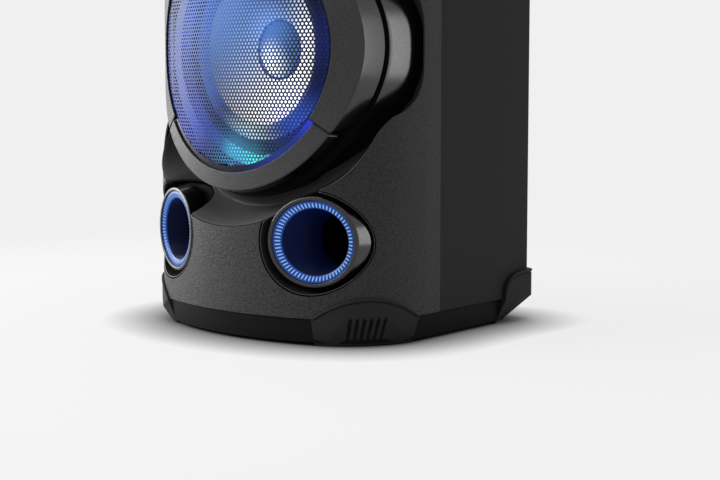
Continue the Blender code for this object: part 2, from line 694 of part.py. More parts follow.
def make_woofer(pressed, paper, foam, steel, copper, plastic, clear):
    """The driver on its axis: drum, frame, moving parts and magnet, and the light ring round it."""
    seat = SEAT_Y
    baffle_y = -CLEARANCE
    flange = DRUM_RADIUS + 2 * DRUM_WALL
    hole = FRAME_RADIUS - FRAME_LAND
    y_ring("woofer_drum", [(hole, WOOFER_FACE_Y), (DRUM_RADIUS, WOOFER_FACE_Y),
                           (DRUM_RADIUS, baffle_y - DRUM_WALL / 2), (flange, baffle_y - DRUM_WALL / 2),
                           (flange, baffle_y), (DRUM_RADIUS - DRUM_WALL, baffle_y),
                           (DRUM_RADIUS - DRUM_WALL, WOOFER_FACE_Y + DRUM_WALL / 2),
                           (hole, WOOFER_FACE_Y + DRUM_WALL / 2)], plastic)
    cone_front = seat - CLEARANCE
    neck_y = cone_front + CONE_FALL
    basket_y = neck_y + BASKET_ROOM + 2 * CONE_TRAVEL
    basket = MAGNET_RADIUS + FRAME_THICKNESS
    opening = CONE_RADIUS + 2 * ROLL_RADIUS
    pole_gap = COIL_RADIUS + COIL_GAP
    frame = y_ring("woofer_frame", [(opening, seat), (FRAME_RADIUS, seat), (FRAME_RADIUS, FRAME_Y),
                                    (hole - CLEARANCE, FRAME_Y), (basket, basket_y), (pole_gap, basket_y),
                                    (pole_gap, basket_y - FRAME_THICKNESS),
                                    (basket - FRAME_THICKNESS, basket_y - FRAME_THICKNESS),
                                    (opening, FRAME_Y + FRAME_LAND)], pressed)
    shank = 0.4 * SCREW_RADIUS
    under_head = seat - CLEARANCE
    screw = [(shank, FRAME_Y), (shank, under_head), (SCREW_RADIUS, under_head),
             (0.7 * SCREW_RADIUS, under_head - SCREW_HEAD)]
    for k, (x, z) in enumerate(screw_spots((FRAME_RADIUS + hole) / 2)):
        boolean(frame, rod(shank + CLEARANCE, seat - SCREW_HEAD, FRAME_Y + SCREW_HEAD, 8, (x, z), "Y"))
        place("woofer_screw_" + str(k + 1), turned(screw, 8), steel, (x, 0.0, WOOFER_Z + z))

    lit = FRAME_RADIUS + ROUND_CLEARANCE
    y_ring("woofer_light_ring", [(lit, seat), (DRUM_RADIUS - CLEARANCE, seat),
                                 (DRUM_RADIUS - CLEARANCE, FRAME_Y), (lit, FRAME_Y)], clear)

    y_ring("cone", [(CONE_RADIUS, cone_front), (CONE_RADIUS, cone_front + CONE_WALL),
                    (CONE_NECK, neck_y + CONE_WALL), (CONE_NECK, neck_y)], paper)
    slope = CONE_FALL / (CONE_RADIUS - CONE_NECK)
    rim = neck_y - (CAP_RADIUS - CONE_NECK) * slope - CLEARANCE
    dome = [(CAP_RADIUS * s, rim - CAP_HEIGHT * (1 - s * s)) for s in (0.2, 0.6, 0.85, 1.0)]
    inside = [(r - CONE_WALL if r > 0.8 * CAP_RADIUS else r, y + CONE_WALL) for r, y in dome[:-1]]
    place("dust_cap", turned(inside + [(CAP_RADIUS - CONE_WALL, rim)] + dome[::-1], DRIVER_FACETS), paper,
          (0.0, 0.0, WOOFER_Z))
    roll_start = CONE_RADIUS + CLEARANCE
    middle = roll_start + ROLL_RADIUS
    arc = [math.pi * (1 - k / 4) for k in range(5)]
    base = seat - CLEARANCE
    outside = [(middle + ROLL_RADIUS * math.cos(a), base - CONE_WALL - ROLL_RADIUS * math.sin(a)) for a in arc]
    under = ROLL_RADIUS - CONE_WALL
    lining = [(middle + under * math.cos(a), base - under * math.sin(a)) for a in reversed(arc)]
    land = middle + ROLL_RADIUS + FRAME_THICKNESS
    y_ring("surround", outside + [(land, base - CONE_WALL), (land, base)] + lining, foam)

    wound = COIL_RADIUS + WIRE
    plate_y = basket_y + CLEARANCE
    top_end = plate_y + PLATE_THICKNESS
    ferrite_y = top_end + CLEARANCE
    ferrite_end = ferrite_y + MAGNET_THICKNESS
    coil_end = ferrite_end - CONE_TRAVEL - FRAME_THICKNESS
    y_ring("voice_coil", [(COIL_RADIUS - COIL_WALL, neck_y), (COIL_RADIUS, neck_y),
                          (COIL_RADIUS, plate_y), (wound, plate_y), (wound, plate_y + WINDING),
                          (COIL_RADIUS, plate_y + WINDING), (COIL_RADIUS, coil_end),
                          (COIL_RADIUS - COIL_WALL, coil_end)], copper)
    spider_y = neck_y + BASKET_ROOM - WIRE
    wall_top = FRAME_Y + FRAME_LAND
    wall_end = basket_y - FRAME_THICKNESS
    fall = (spider_y + 2 * SPIDER_WAVE - wall_top) / (wall_end - wall_top)
    spider_end = opening + (basket - FRAME_THICKNESS - opening) * fall - ROUND_CLEARANCE
    waves = 4
    ripple = []
    for k in range(waves + 1):
        r = CONE_NECK + (spider_end - CONE_NECK) * k / waves
        ripple.append((r, spider_y + SPIDER_WAVE * (-1) ** k))
    y_ring("spider", ripple + [(r, y + COIL_WALL) for r, y in reversed(ripple)], foam)

    y_ring("top_plate", [(pole_gap, plate_y), (PLATE_RADIUS, plate_y),
                         (PLATE_RADIUS, top_end), (pole_gap, top_end)], steel)
    bore = COIL_RADIUS + PLATE_THICKNESS
    y_ring("magnet", [(bore, ferrite_y), (MAGNET_RADIUS, ferrite_y), (MAGNET_RADIUS, ferrite_end),
                      (bore, ferrite_end)], steel)
    back_y = ferrite_end + CLEARANCE
    pole = COIL_RADIUS - COIL_GAP
    place("pole_piece", turned([(pole, plate_y), (pole, back_y), (PLATE_RADIUS, back_y),
                                (PLATE_RADIUS, back_y + PLATE_THICKNESS)], DRIVER_FACETS), steel,
          (0.0, 0.0, WOOFER_Z))


def well_skin(x, z):
    """Where a well's lip ends: just behind the shell, or behind the moat's surface inside the moat."""
    radius = math.hypot(x, z - WOOFER_Z)
    skin = front_y(x)
    if radius < MOAT_RADIUS:
        angle = math.atan2(z - WOOFER_Z, x)
        skin = max(skin, moat_y(angle, max(radius, BOWL_INNER)))
    return skin + ROUND_CLEARANCE


def well_profile(side, centre_z, inner_wall):
    """A rim on its slanted plane, standing in a well that is open to the front."""
    well = WELL_RADIUS - ROUND_CLEARANCE

    def section(angle):
        across, up = math.cos(angle) * side, math.sin(angle)

        def rim(r):
            return rim_y(r * across)

        def skin(r):
            return well_skin(PORT_X + r * across, centre_z + r * up)
        floor = WELL_FLOOR_Y + WELL_WALL
        return [(inner_wall, rim(inner_wall)), (RIM_RADIUS, rim(RIM_RADIUS)), (RIM_RADIUS, WELL_FLOOR_Y),
                (well - WELL_WALL, WELL_FLOOR_Y), (well - WELL_WALL, skin(well)),
                (well, skin(well)), (well, floor), (inner_wall, floor)]
    return section


def make_port(side, side_name, satin, clear, plastic):
    """One bass port: the rim in its well, the light ring inside it, and the ducted tube."""
    at = (side * PORT_X, PORT_Z)
    inner_wall = RIM_RADIUS - RIM_WALL
    place("port_rim_" + side_name, hoop(well_profile(side, PORT_Z, inner_wall), PORT_FACETS, centre=at), satin)
    light_back = LIGHT_FALL + LIGHT_DEPTH + CLEARANCE

    def light(angle):
        across = math.cos(angle) * side
        outer, inner = LIGHT_OUTER, MOUTH_RADIUS + CLEARANCE
        front = rim_y(outer * across) + LIGHT_SETBACK
        back = rim_y(inner * across) + LIGHT_FALL
        return [(inner, back), (outer, front), (outer, front + LIGHT_DEPTH), (inner, back + LIGHT_DEPTH)]
    place("port_light_" + side_name, hoop(light, PORT_FACETS, centre=at), clear)

    def tube(angle):
        across = math.cos(angle) * side
        mouth = rim_y(MOUTH_RADIUS * across) + light_back
        outer = THROAT_RADIUS + TUBE_WALL
        lip = LIGHT_OUTER - TUBE_WALL
        lip_y = rim_y(lip * across) + light_back
        return [(MOUTH_RADIUS, mouth), (THROAT_RADIUS, THROAT_Y), (THROAT_RADIUS, TUBE_END_Y),
                (outer, TUBE_END_Y), (outer, THROAT_Y + TUBE_WALL), (MOUTH_RADIUS + TUBE_WALL, mouth + TUBE_WALL),
                (lip, lip_y + TUBE_WALL), (lip, lip_y)]
    place("port_tube_" + side_name, hoop(tube, PORT_FACETS, centre=at), plastic)


def make_tweeter(side, side_name, satin, steel):
    """One tweeter: a rim, well and horn moulded in one, and the driver behind the horn."""
    at = (side * PORT_X, TWEETER_Z)
    wall = TUBE_WALL
    mouth = RIM_RADIUS - RIM_WALL
    well = WELL_RADIUS - ROUND_CLEARANCE
    half_way = HORN_THROAT + 0.35 * (mouth - HORN_THROAT)
    back = HORN_THROAT_Y + 2 * wall
    floor = WELL_FLOOR_Y + WELL_WALL

    def horn(angle):
        across, up = math.cos(angle) * side, math.sin(angle)
        mouth_y = rim_y(mouth * across)
        half_y = mouth_y + 0.65 * (HORN_THROAT_Y - mouth_y)
        shoulder = RIM_RADIUS - wall
        skin = well_skin(PORT_X + well * across, TWEETER_Z + well * up)
        return [(HORN_THROAT, back), (HORN_THROAT, HORN_THROAT_Y), (half_way, half_y), (mouth, mouth_y),
                (RIM_RADIUS, rim_y(RIM_RADIUS * across)), (RIM_RADIUS, WELL_FLOOR_Y),
                (well - WELL_WALL, WELL_FLOOR_Y), (well - WELL_WALL, skin), (well, skin),
                (well, floor), (shoulder, floor), (shoulder, rim_y(shoulder * across) + 3 * wall),
                (half_way + wall, half_y + wall), (HORN_THROAT + wall, HORN_THROAT_Y + wall),
                (HORN_THROAT + wall, back)]
    place("tweeter_horn_" + side_name, hoop(horn, PORT_FACETS, centre=at), satin)
    front = back + CLEARANCE
    profile = [(HORN_THROAT + wall, front), (DRIVER_RADIUS, front + wall),
               (DRIVER_RADIUS, front + DRIVER_DEPTH), (0.7 * DRIVER_RADIUS, front + DRIVER_DEPTH + wall)]
    place("tweeter_driver_" + side_name, shifted(turned(profile, DRIVER_FACETS), x=at[0], z=at[1]), steel)


def make_boards(vinyl, board):
    """The wooden box behind the moulded front: sides, bottom, baffle and back."""
    rear = arc_stations(*REAR_ARC, math.pi / 2, math.pi, 3)
    plan = [Vector((HALF - BOARD, SIDE_SEAM_Y + CLEARANCE)), Vector((HALF, SIDE_SEAM_Y + CLEARANCE))]
    plan += [point for point, out in rear]
    plan.append(Vector((HALF - BOARD, BACK_Y)))
    for side, side_name in ((1, "right"), (-1, "left")):
        loops = [[Vector((side * spot.x, spot.y, z)) for spot in plan] for z in (BOX_FLOOR, SHELL_TOP)]
        place("side_panel_" + side_name, loft(loops), vinyl)
    inside = BOARD + CLEARANCE
    place("bottom_board", block((-INNER_X, inside, BOX_FLOOR), (INNER_X, BACK_Y - inside, BOX_FLOOR + BOARD)),
          board)
    baffle = place("baffle_board", block((-INNER_X, 0.0, BOX_FLOOR), (INNER_X, BOARD, SHELL_TOP)), board)
    opening = DRUM_RADIUS - DRUM_WALL
    boolean(baffle, rod(opening, -BOARD, 2 * BOARD, DRIVER_FACETS, (0.0, WOOFER_Z), "Y"))
    for side in (-1, 1):
        bore = THROAT_RADIUS + TUBE_WALL + ROUND_CLEARANCE
        boolean(baffle, rod(bore, -BOARD, 2 * BOARD, PORT_FACETS, (side * PORT_X, PORT_Z), "Y"))


def back_holes():
    """The back panel's openings as (centre x, centre z, width, height)."""
    holes = [(0.0, HANDLE_Z, HANDLE_WIDTH, HANDLE_HEIGHT),
             (0.0, TERMINAL_Z, TERMINAL_WIDTH - 2 * CUP_FLANGE, TERMINAL_HEIGHT - 2 * CUP_FLANGE),
             (INLET_X, INLET_Z, INLET_WIDTH, INLET_HEIGHT)]
    for k in range(VENT_COUNT):
        holes.append((0.0, VENT_Z + k * VENT_PITCH, VENT_WIDTH, VENT_HEIGHT))
    return holes


def tray(width, height, depth, wall, flange, mouth_y, x, z):
    """An open tray let into the back: a flange on the outside and a pocket that runs forwards."""
    def loop(grow, y):
        a, b = width / 2 + grow, height / 2 + grow
        return [Vector((x - a, y, z - b)), Vector((x + a, y, z - b)), Vector((x + a, y, z + b)),
                Vector((x - a, y, z + b))]
    shrink = -CLEARANCE
    return loft([loop(shrink, mouth_y - depth - wall), loop(shrink, mouth_y + CLEARANCE),
                 loop(flange, mouth_y + CLEARANCE), loop(flange, mouth_y + wall),
                 loop(shrink - wall, mouth_y + wall), loop(shrink - wall, mouth_y - depth)])


def make_back(vinyl, plastic):
    """The back panel and what is let into it: grab handle, terminals and mains inlet."""
    inside = HALF - BOARD - CLEARANCE
    low = BOX_FLOOR
    panel_y = BACK_Y - BOARD
    back = place("back_panel", block((-inside, panel_y, low), (inside, BACK_Y, SHELL_TOP)), vinyl)
    for x, z, width, height in back_holes():
        boolean(back, block((x - width / 2, panel_y - BOARD, z - height / 2),
                            (x + width / 2, BACK_Y + BOARD, z + height / 2)))
    place("handle_cup", tray(HANDLE_WIDTH, HANDLE_HEIGHT, HANDLE_DEPTH, CUP_WALL, CUP_FLANGE, BACK_Y,
                             0.0, HANDLE_Z), plastic)
    inlet = place("mains_inlet", tray(INLET_WIDTH, INLET_HEIGHT, INLET_DEPTH, CUP_WALL, CUP_WALL, BACK_Y,
                                      INLET_X, INLET_Z), plastic)
    inlet_floor = BACK_Y - INLET_DEPTH - CUP_WALL / 2
    for side in (-1, 1):
        spot = (INLET_X + side * PIN_SPREAD, INLET_Z)
        boolean(inlet, rod(PIN_RADIUS, inlet_floor, BACK_Y - INLET_DEPTH / 3, 8, spot, "Y"), "UNION")
    plate = place("terminal_plate", block((-TERMINAL_WIDTH / 2, BACK_Y + CLEARANCE, TERMINAL_Z - TERMINAL_HEIGHT / 2),
                                          (TERMINAL_WIDTH / 2, BACK_Y + CUP_WALL, TERMINAL_Z + TERMINAL_HEIGHT / 2)),
                  plastic)
    for k in (-1, 0, 1):
        spot = (k * TERMINAL_WIDTH / 4, TERMINAL_Z)
        boolean(plate, rod(SOCKET_RADIUS, BACK_Y - BOARD / 2, REAR_END, SMALL_FACETS, spot, "Y"), "UNION")
        boolean(plate, rod(SOCKET_BORE, BACK_Y - BOARD / 4, REAR_END + BOARD, SMALL_FACETS, spot, "Y"))


def button_spots():
    """Three buttons on each side of the volume knob, on one arc."""
    spots = []
    for side in (-1, 1):
        for k in (-1, 0, 1):
            turn = k * BUTTON_STEP
            spots.append((side * BUTTON_ARC * math.cos(turn), KNOB_Y + BUTTON_ARC * math.sin(turn)))
    return spots


def jack_spots():
    """Two input jacks on the control row."""
    return [(JACK_X, CONTROL_ROW_Y), (JACK_X + JACK_STEP, CONTROL_ROW_Y)]


def make_top(satin, glossy, plastic, steel, fibre):
    """The top cap, the control panel let into it, the board below, and every knob, button and jack."""
    low = SHELL_TOP + CLEARANCE
    ceiling = DECK_Z - DECK_WALL
    wall = SHELL_WALL
    levels = [(wall, ceiling), (wall, low), (0.0, low), (0.0, CAP_TOP - CAP_ROUND),
              (CAP_ROUND / 5, CAP_TOP - 0.4 * CAP_ROUND), (0.75 * CAP_ROUND, CAP_TOP), (RIM_WIDTH, CAP_TOP),
              (RIM_WIDTH + RIM_SLOPE, DECK_Z)]
    cap = place("top_cap", loft([plan_loop(inset, z) for inset, z in levels]), satin)
    edge = RIM_WIDTH + RIM_SLOPE + ROUND_CLEARANCE
    panel = place("control_panel", loft([plan_loop(edge, DECK_Z + CLEARANCE), plan_loop(edge, PANEL_TOP)]), glossy)
    shafts = [(0.0, KNOB_Y), (MIC_KNOB_X, CONTROL_ROW_Y)]
    through = [(x, y, SHAFT_RADIUS + ROUND_CLEARANCE) for x, y in shafts]
    through += [(x, y, JACK_RADIUS + ROUND_CLEARANCE / 2) for x, y in jack_spots()]
    stems = [(x, y, STEM_RADIUS + ROUND_CLEARANCE) for x, y in button_spots()]
    caps = [(x, y, BUTTON_RADIUS + ROUND_CLEARANCE) for x, y in button_spots()]
    below, above = ceiling - BOARD, CAP_TOP + BOARD
    boolean(cap, together([rod(r, below, above, SMALL_FACETS, (x, y)) for x, y, r in through + stems]))
    boolean(panel, together([rod(r, below, above, SMALL_FACETS, (x, y)) for x, y, r in through + caps]))

    knob_low = PANEL_TOP + CLEARANCE
    shaft_top = KNOB_TOP - KNOB_ROOF
    bore = SHAFT_RADIUS + CLEARANCE
    knob = [(bore, shaft_top + CLEARANCE), (bore, knob_low), (KNOB_RADIUS, knob_low),
            (KNOB_RADIUS, KNOB_TOP - KNOB_EDGE), (KNOB_RADIUS - KNOB_EDGE, KNOB_TOP),
            (DISH_RADIUS + DISH_DEPTH, KNOB_TOP), (DISH_RADIUS, KNOB_TOP - DISH_DEPTH)]
    place("volume_knob", turned(knob, DRIVER_FACETS, "Z"), satin, (0.0, KNOB_Y, 0.0))
    mic_top = PANEL_TOP + MIC_KNOB_HEIGHT
    mic = [(bore, mic_top - MIC_KNOB_ROOF + CLEARANCE), (bore, knob_low), (MIC_KNOB_RADIUS, knob_low),
           (MIC_KNOB_RADIUS - MIC_KNOB_EDGE, mic_top - MIC_KNOB_EDGE), (MIC_KNOB_RADIUS - 2 * MIC_KNOB_EDGE, mic_top)]
    place("mic_knob", turned(mic, SMALL_FACETS, "Z"), satin, (MIC_KNOB_X, CONTROL_ROW_Y, 0.0))

    switch_top = CONTROL_BOARD_Z + BOARD_SHEET + SWITCH_HEIGHT
    button_low = DECK_Z + CLEARANCE + BUTTON_TRAVEL
    stem_low = switch_top + BUTTON_TRAVEL + CLEARANCE
    button_top = PANEL_TOP + BUTTON_PROUD
    button = [(STEM_RADIUS, stem_low), (STEM_RADIUS, button_low), (BUTTON_RADIUS, button_low),
              (BUTTON_RADIUS, button_top - BUTTON_EDGE), (BUTTON_RADIUS - BUTTON_EDGE, button_top)]
    names = ("power", "source", "play", "bass", "light", "echo")
    for name, (x, y) in zip(names, button_spots()):
        place(name + "_button", turned(button, SMALL_FACETS, "Z"), plastic, (x, y, 0.0))

    jack_top = PANEL_TOP + JACK_PROUD
    ring = [(JACK_BORE, jack_top - JACK_LENGTH), (JACK_BORE, jack_top), (JACK_RADIUS, jack_top),
            (JACK_RADIUS, jack_top - JACK_LENGTH)]
    for name, (x, y) in zip(("mic_jack", "guitar_jack"), jack_spots()):
        loops = []
        for k in range(SMALL_FACETS):
            angle = FULL_TURN * k / SMALL_FACETS
            loops.append([Vector((r * math.cos(angle), r * math.sin(angle), z)) for r, z in ring])
        place(name, loft(loops, joined=True), steel, (x, y, 0.0))

    half = BUTTON_ARC + 2 * BUTTON_RADIUS
    board_y = KNOB_Y - KNOB_RADIUS - BUTTON_RADIUS
    sheet_top = CONTROL_BOARD_Z + BOARD_SHEET
    board = place("control_board", block((-half, board_y, CONTROL_BOARD_Z),
                                         (half, CONTROL_ROW_Y + JACK_RADIUS, sheet_top)), fibre)
    sunk = CONTROL_BOARD_Z + BOARD_SHEET / 2
    for x, y in button_spots():
        boolean(board, block((x - SWITCH, y - SWITCH, sunk), (x + SWITCH, y + SWITCH, switch_top)), "UNION")
    for (x, y), top in zip(shafts, (shaft_top, mic_top - MIC_KNOB_ROOF)):
        boolean(board, rod(2 * SHAFT_RADIUS, sunk, ceiling - DECK_WALL, SMALL_FACETS, (x, y)), "UNION")
        boolean(board, rod(SHAFT_RADIUS, sunk, top, SMALL_FACETS, (x, y)), "UNION")
    for x in (-half + POST_INSET, half - POST_INSET):
        for y in (board_y + POST_INSET, CONTROL_ROW_Y - 2 * POST_INSET):
            boolean(board, rod(SHAFT_RADIUS, sunk, ceiling - CLEARANCE, SMALL_FACETS, (x, y)), "UNION")


def make_electronics(fibre, aluminium, steel):
    """The amplifier board on the back panel, its finned heat sink, and the power supply on the floor."""
    face = BACK_Y - BOARD - CLEARANCE
    sheet_y = face - STANDOFF
    half = AMP_WIDTH / 2
    low, high = AMP_Z - AMP_HEIGHT / 2, AMP_Z + AMP_HEIGHT / 2
    board = place("amp_board", block((-half, sheet_y - BOARD_SHEET, low), (half, sheet_y, high)), fibre)
    for x in (-half + POST_INSET, half - POST_INSET):
        for z in (low + POST_INSET, high - POST_INSET):
            boolean(board, rod(SHAFT_RADIUS, sheet_y - BOARD_SHEET / 2, face, SMALL_FACETS, (x, z), "Y"), "UNION")
    root = sheet_y - BOARD_SHEET - CLEARANCE
    sink_low = AMP_Z - SINK_HEIGHT / 2
    pitch = SINK_WIDTH / (SINK_FINS - 0.5)
    outline = [(SINK_WIDTH / 2, root), (-SINK_WIDTH / 2, root)]
    for k in range(SINK_FINS):
        x = -SINK_WIDTH / 2 + k * pitch
        outline += [(x, root - SINK_DEPTH), (x + pitch / 2, root - SINK_DEPTH)]
        if k < SINK_FINS - 1:
            outline += [(x + pitch / 2, root - SINK_BASE), (x + pitch, root - SINK_BASE)]
    loops = [[Vector((x, y, z)) for x, y in outline] for z in (sink_low, sink_low + SINK_HEIGHT)]
    place("heat_sink", loft(loops), aluminium)
    floor = BOX_FLOOR + BOARD + CLEARANCE
    middle = (BOARD + BACK_Y - BOARD) / 2
    place("power_supply", block((-SUPPLY_WIDTH / 2, middle - SUPPLY_DEPTH / 2, floor),
                                (SUPPLY_WIDTH / 2, middle + SUPPLY_DEPTH / 2, floor + SUPPLY_HEIGHT)), steel)


def main():
    clear_scene()
    textured = paint("textured_abs", 0.055, 0.055, 0.055, 0.55)
    plastic = paint("matt_abs", 0.03, 0.03, 0.03, 0.5)
    glossy = paint("gloss_abs", 0.008, 0.008, 0.009, 0.12)
    satin = paint("satin_abs", 0.05, 0.05, 0.052, 0.4)
    vinyl = paint("vinyl_wrap", 0.022, 0.022, 0.022, 0.5)
    board = paint("fibreboard", 0.20, 0.13, 0.08, 0.8)
    rubber = paint("rubber", 0.02, 0.02, 0.02, 0.8)
    perforated = paint("perforated_steel", 0.02, 0.02, 0.02, 0.4, 0.6)
    pressed = paint("pressed_steel", 0.05, 0.05, 0.05, 0.5, 0.6)
    paper = paint("pulp_paper", 0.05, 0.05, 0.05, 0.8)
    foam = paint("rubber_roll", 0.02, 0.02, 0.02, 0.7)
    steel = paint("zinc_steel", 0.35, 0.35, 0.36, 0.35, 1.0)
    copper = paint("copper_wire", 0.55, 0.22, 0.10, 0.35, 1.0)
    clear = paint("light_guide", 0.25, 0.40, 0.90, 0.2)
    fibre = paint("circuit_board", 0.02, 0.12, 0.05, 0.5)
    aluminium = paint("aluminium", 0.55, 0.56, 0.57, 0.4, 1.0)
    make_plinth(plastic)
    make_feet(rubber)
    make_front_shell(textured)
    make_display(glossy)
    make_woofer_front(glossy, satin, perforated)
    make_woofer(pressed, paper, foam, steel, copper, plastic, clear)
    for side, side_name in ((1, "right"), (-1, "left")):
        make_port(side, side_name, satin, clear, plastic)
        make_tweeter(side, side_name, satin, steel)
    make_boards(vinyl, board)
    make_back(vinyl, plastic)
    make_top(satin, glossy, plastic, steel, fibre)
    make_electronics(fibre, aluminium, steel)


main()
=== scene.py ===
# %% [markdown]
# This lesson dresses a tall party loudspeaker: a moulded front with a round lit woofer, two lit bass ports,
# two tweeter horns, a wooden box behind, rubber feet and a control panel on top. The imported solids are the
# fixed frame. Each visible part is drawn again as a smooth surface worked out with numpy from the same few
# sizes, because the solids are faceted, and each gets the finish of its real material.

import bmesh
import bpy
import numpy as np
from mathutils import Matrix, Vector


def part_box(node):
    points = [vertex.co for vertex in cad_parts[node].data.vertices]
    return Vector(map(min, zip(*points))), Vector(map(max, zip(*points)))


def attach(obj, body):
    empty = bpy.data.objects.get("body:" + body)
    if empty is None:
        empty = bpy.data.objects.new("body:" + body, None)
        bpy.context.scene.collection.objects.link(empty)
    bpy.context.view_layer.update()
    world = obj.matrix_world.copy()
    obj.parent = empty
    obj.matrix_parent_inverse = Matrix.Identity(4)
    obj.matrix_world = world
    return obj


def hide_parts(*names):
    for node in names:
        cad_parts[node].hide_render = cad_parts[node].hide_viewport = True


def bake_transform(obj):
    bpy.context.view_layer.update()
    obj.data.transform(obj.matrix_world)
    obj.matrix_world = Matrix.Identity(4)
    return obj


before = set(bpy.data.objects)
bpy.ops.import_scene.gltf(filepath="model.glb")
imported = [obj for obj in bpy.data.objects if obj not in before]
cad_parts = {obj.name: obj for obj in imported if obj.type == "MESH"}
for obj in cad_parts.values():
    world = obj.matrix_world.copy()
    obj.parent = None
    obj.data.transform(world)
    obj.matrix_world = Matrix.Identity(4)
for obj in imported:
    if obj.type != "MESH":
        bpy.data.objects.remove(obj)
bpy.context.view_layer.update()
scene = bpy.context.scene
MM = 0.001

# %% [markdown]
# Outside sizes come from the frame's own nodes, so the looks stay on the solids. The arcs of the plan are
# the designer's numbers and are written once here, in millimetres; each later cell adds the sizes of its
# own piece.

# %% Sizes
def middle(node):
    """The centre of a node's box."""
    low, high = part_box(node)
    return (low + high) / 2


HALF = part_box("side_panel_right")[1].x
BACK_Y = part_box("side_panel_right")[1].y
SEAM_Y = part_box("side_panel_right")[0].y
FRONT_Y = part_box("front_shell")[0].y
BOX_FLOOR, SHELL_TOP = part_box("front_shell")[0].z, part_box("front_shell")[1].z
WOOFER_Z = middle("cone").z
PORT_X, PORT_Z = middle("port_tube_right").x, middle("port_tube_right").z
TWEETER_Z = middle("tweeter_horn_right").z
FRONT_RADIUS, CORNER_RADIUS, REAR_RADIUS = 276 * MM, 103 * MM, 8 * MM
CORNER_X = HALF - CORNER_RADIUS
TANGENT = np.arcsin(CORNER_X / (FRONT_RADIUS - CORNER_RADIUS))
FRONT_CENTRE_Y = FRONT_Y + FRONT_RADIUS
CORNER_Y = FRONT_CENTRE_Y - (FRONT_RADIUS - CORNER_RADIUS) * np.cos(TANGENT)
WIDE_LENGTH = FRONT_RADIUS * TANGENT
CORNER_LENGTH = WIDE_LENGTH + CORNER_RADIUS * (np.pi / 2 - TANGENT)
GAP = 0.8 * MM
SIDES = ((1, "right"), (-1, "left"))
print("plan: half width %.1f mm, tangent at %.1f degrees" % (HALF / MM, np.degrees(TANGENT)))

# %% [markdown]
# The plan of the front is a wide arc that runs into tight corner arcs and then into the straight sides.
# Measured by the length s along it, a point of the front is a function of s and the height z alone, so
# every opening in the front can be drawn flat, in s and z, and then wrapped round the box.

# %% Plan of the front
def plan(s):
    """Wide arc, corner arc, then a straight side: the point (x, y) at a length s from the middle."""
    wide = s / FRONT_RADIUS
    corner = TANGENT + (s - WIDE_LENGTH) / CORNER_RADIUS
    on = [s < WIDE_LENGTH, s < CORNER_LENGTH]
    x = np.select(on, [FRONT_RADIUS * np.sin(wide), CORNER_X + CORNER_RADIUS * np.sin(corner)], HALF)
    y = np.select(on, [FRONT_CENTRE_Y - FRONT_RADIUS * np.cos(wide), CORNER_Y - CORNER_RADIUS * np.cos(corner)],
                  CORNER_Y + s - CORNER_LENGTH)
    return x, y


def along(x):
    """The length s at a distance x from the middle: plan turned round."""
    wide = FRONT_RADIUS * np.arcsin(np.minimum(x / FRONT_RADIUS, 1.0))
    corner = WIDE_LENGTH + CORNER_RADIUS * (np.arcsin(np.clip((x - CORNER_X) / CORNER_RADIUS, -1, 1)) - TANGENT)
    return np.where(x < FRONT_RADIUS * np.sin(TANGENT), wide, corner)


def front_y(x):
    """How far back the front lies at a distance x from the middle."""
    return plan(along(np.minimum(np.abs(x), HALF)))[1]


print("y of the front at the middle and at the ports:", front_y(np.array([0.0, PORT_X])).round(4).tolist())

# %% [markdown]
# Nearly every piece is built in one way: grids of points become quads, doubled points are merged, normals
# are turned outwards, and a weighted-normal modifier keeps flat faces flat next to their small round edges.
# The grille, which is one large net, is put together by itself.

# %% Pieces from grids
def rounded(outline, radius, steps=4):
    """Round each corner of a closed outline (corners, ..., 2) by a quadratic curve that starts radius away."""
    reach = np.reshape(np.broadcast_to(radius, len(outline)), (-1,) + (1,) * (outline.ndim - 1))

    def towards(other):
        way = other - outline
        size = np.maximum(np.linalg.norm(way, axis=-1, keepdims=True), 1e-9)
        return outline + way / size * np.minimum(reach, 0.46 * size)
    start, end = towards(np.roll(outline, 1, 0)), towards(np.roll(outline, -1, 0))
    share = np.linspace(0, 1, steps).reshape((steps,) + (1,) * outline.ndim)
    curve = (1 - share) ** 2 * start + 2 * share * (1 - share) * outline + share ** 2 * end
    return np.moveaxis(curve, 0, 1).reshape((-1,) + outline.shape[1:])


def closed(points):
    """Repeat the first row after the last, to close a loop."""
    return np.concatenate([points, points[:1]])


def hoop(radius, y, turn, x=0.0, z=0.0):
    """A section carried round an axis along Y: (x + r cos t, y, z + r sin t), one row for each point."""
    radius, y, turn = np.broadcast_arrays(radius, y, turn)
    return np.stack([x + radius * np.cos(turn), y, z + radius * np.sin(turn)], -1)


def upright(radius, height, turn, x=0.0, y=0.0):
    """A section carried round an axis along Z: (x + r cos t, y + r sin t, height)."""
    radius, height, turn = np.broadcast_arrays(radius, height, turn)
    return np.stack([x + radius * np.cos(turn), y + radius * np.sin(turn), height], -1)


def round_turn(count):
    """Angles of one whole turn, first and last the same."""
    return np.linspace(0, 2 * np.pi, count + 1)


def grid_quads(rows, columns):
    """Quads between neighbouring points of a grid that is numbered row by row."""
    index = np.arange(rows * columns).reshape(rows, columns)
    return np.stack([index[:-1, :-1], index[:-1, 1:], index[1:, 1:], index[1:, :-1]], -1).reshape(-1, 4)


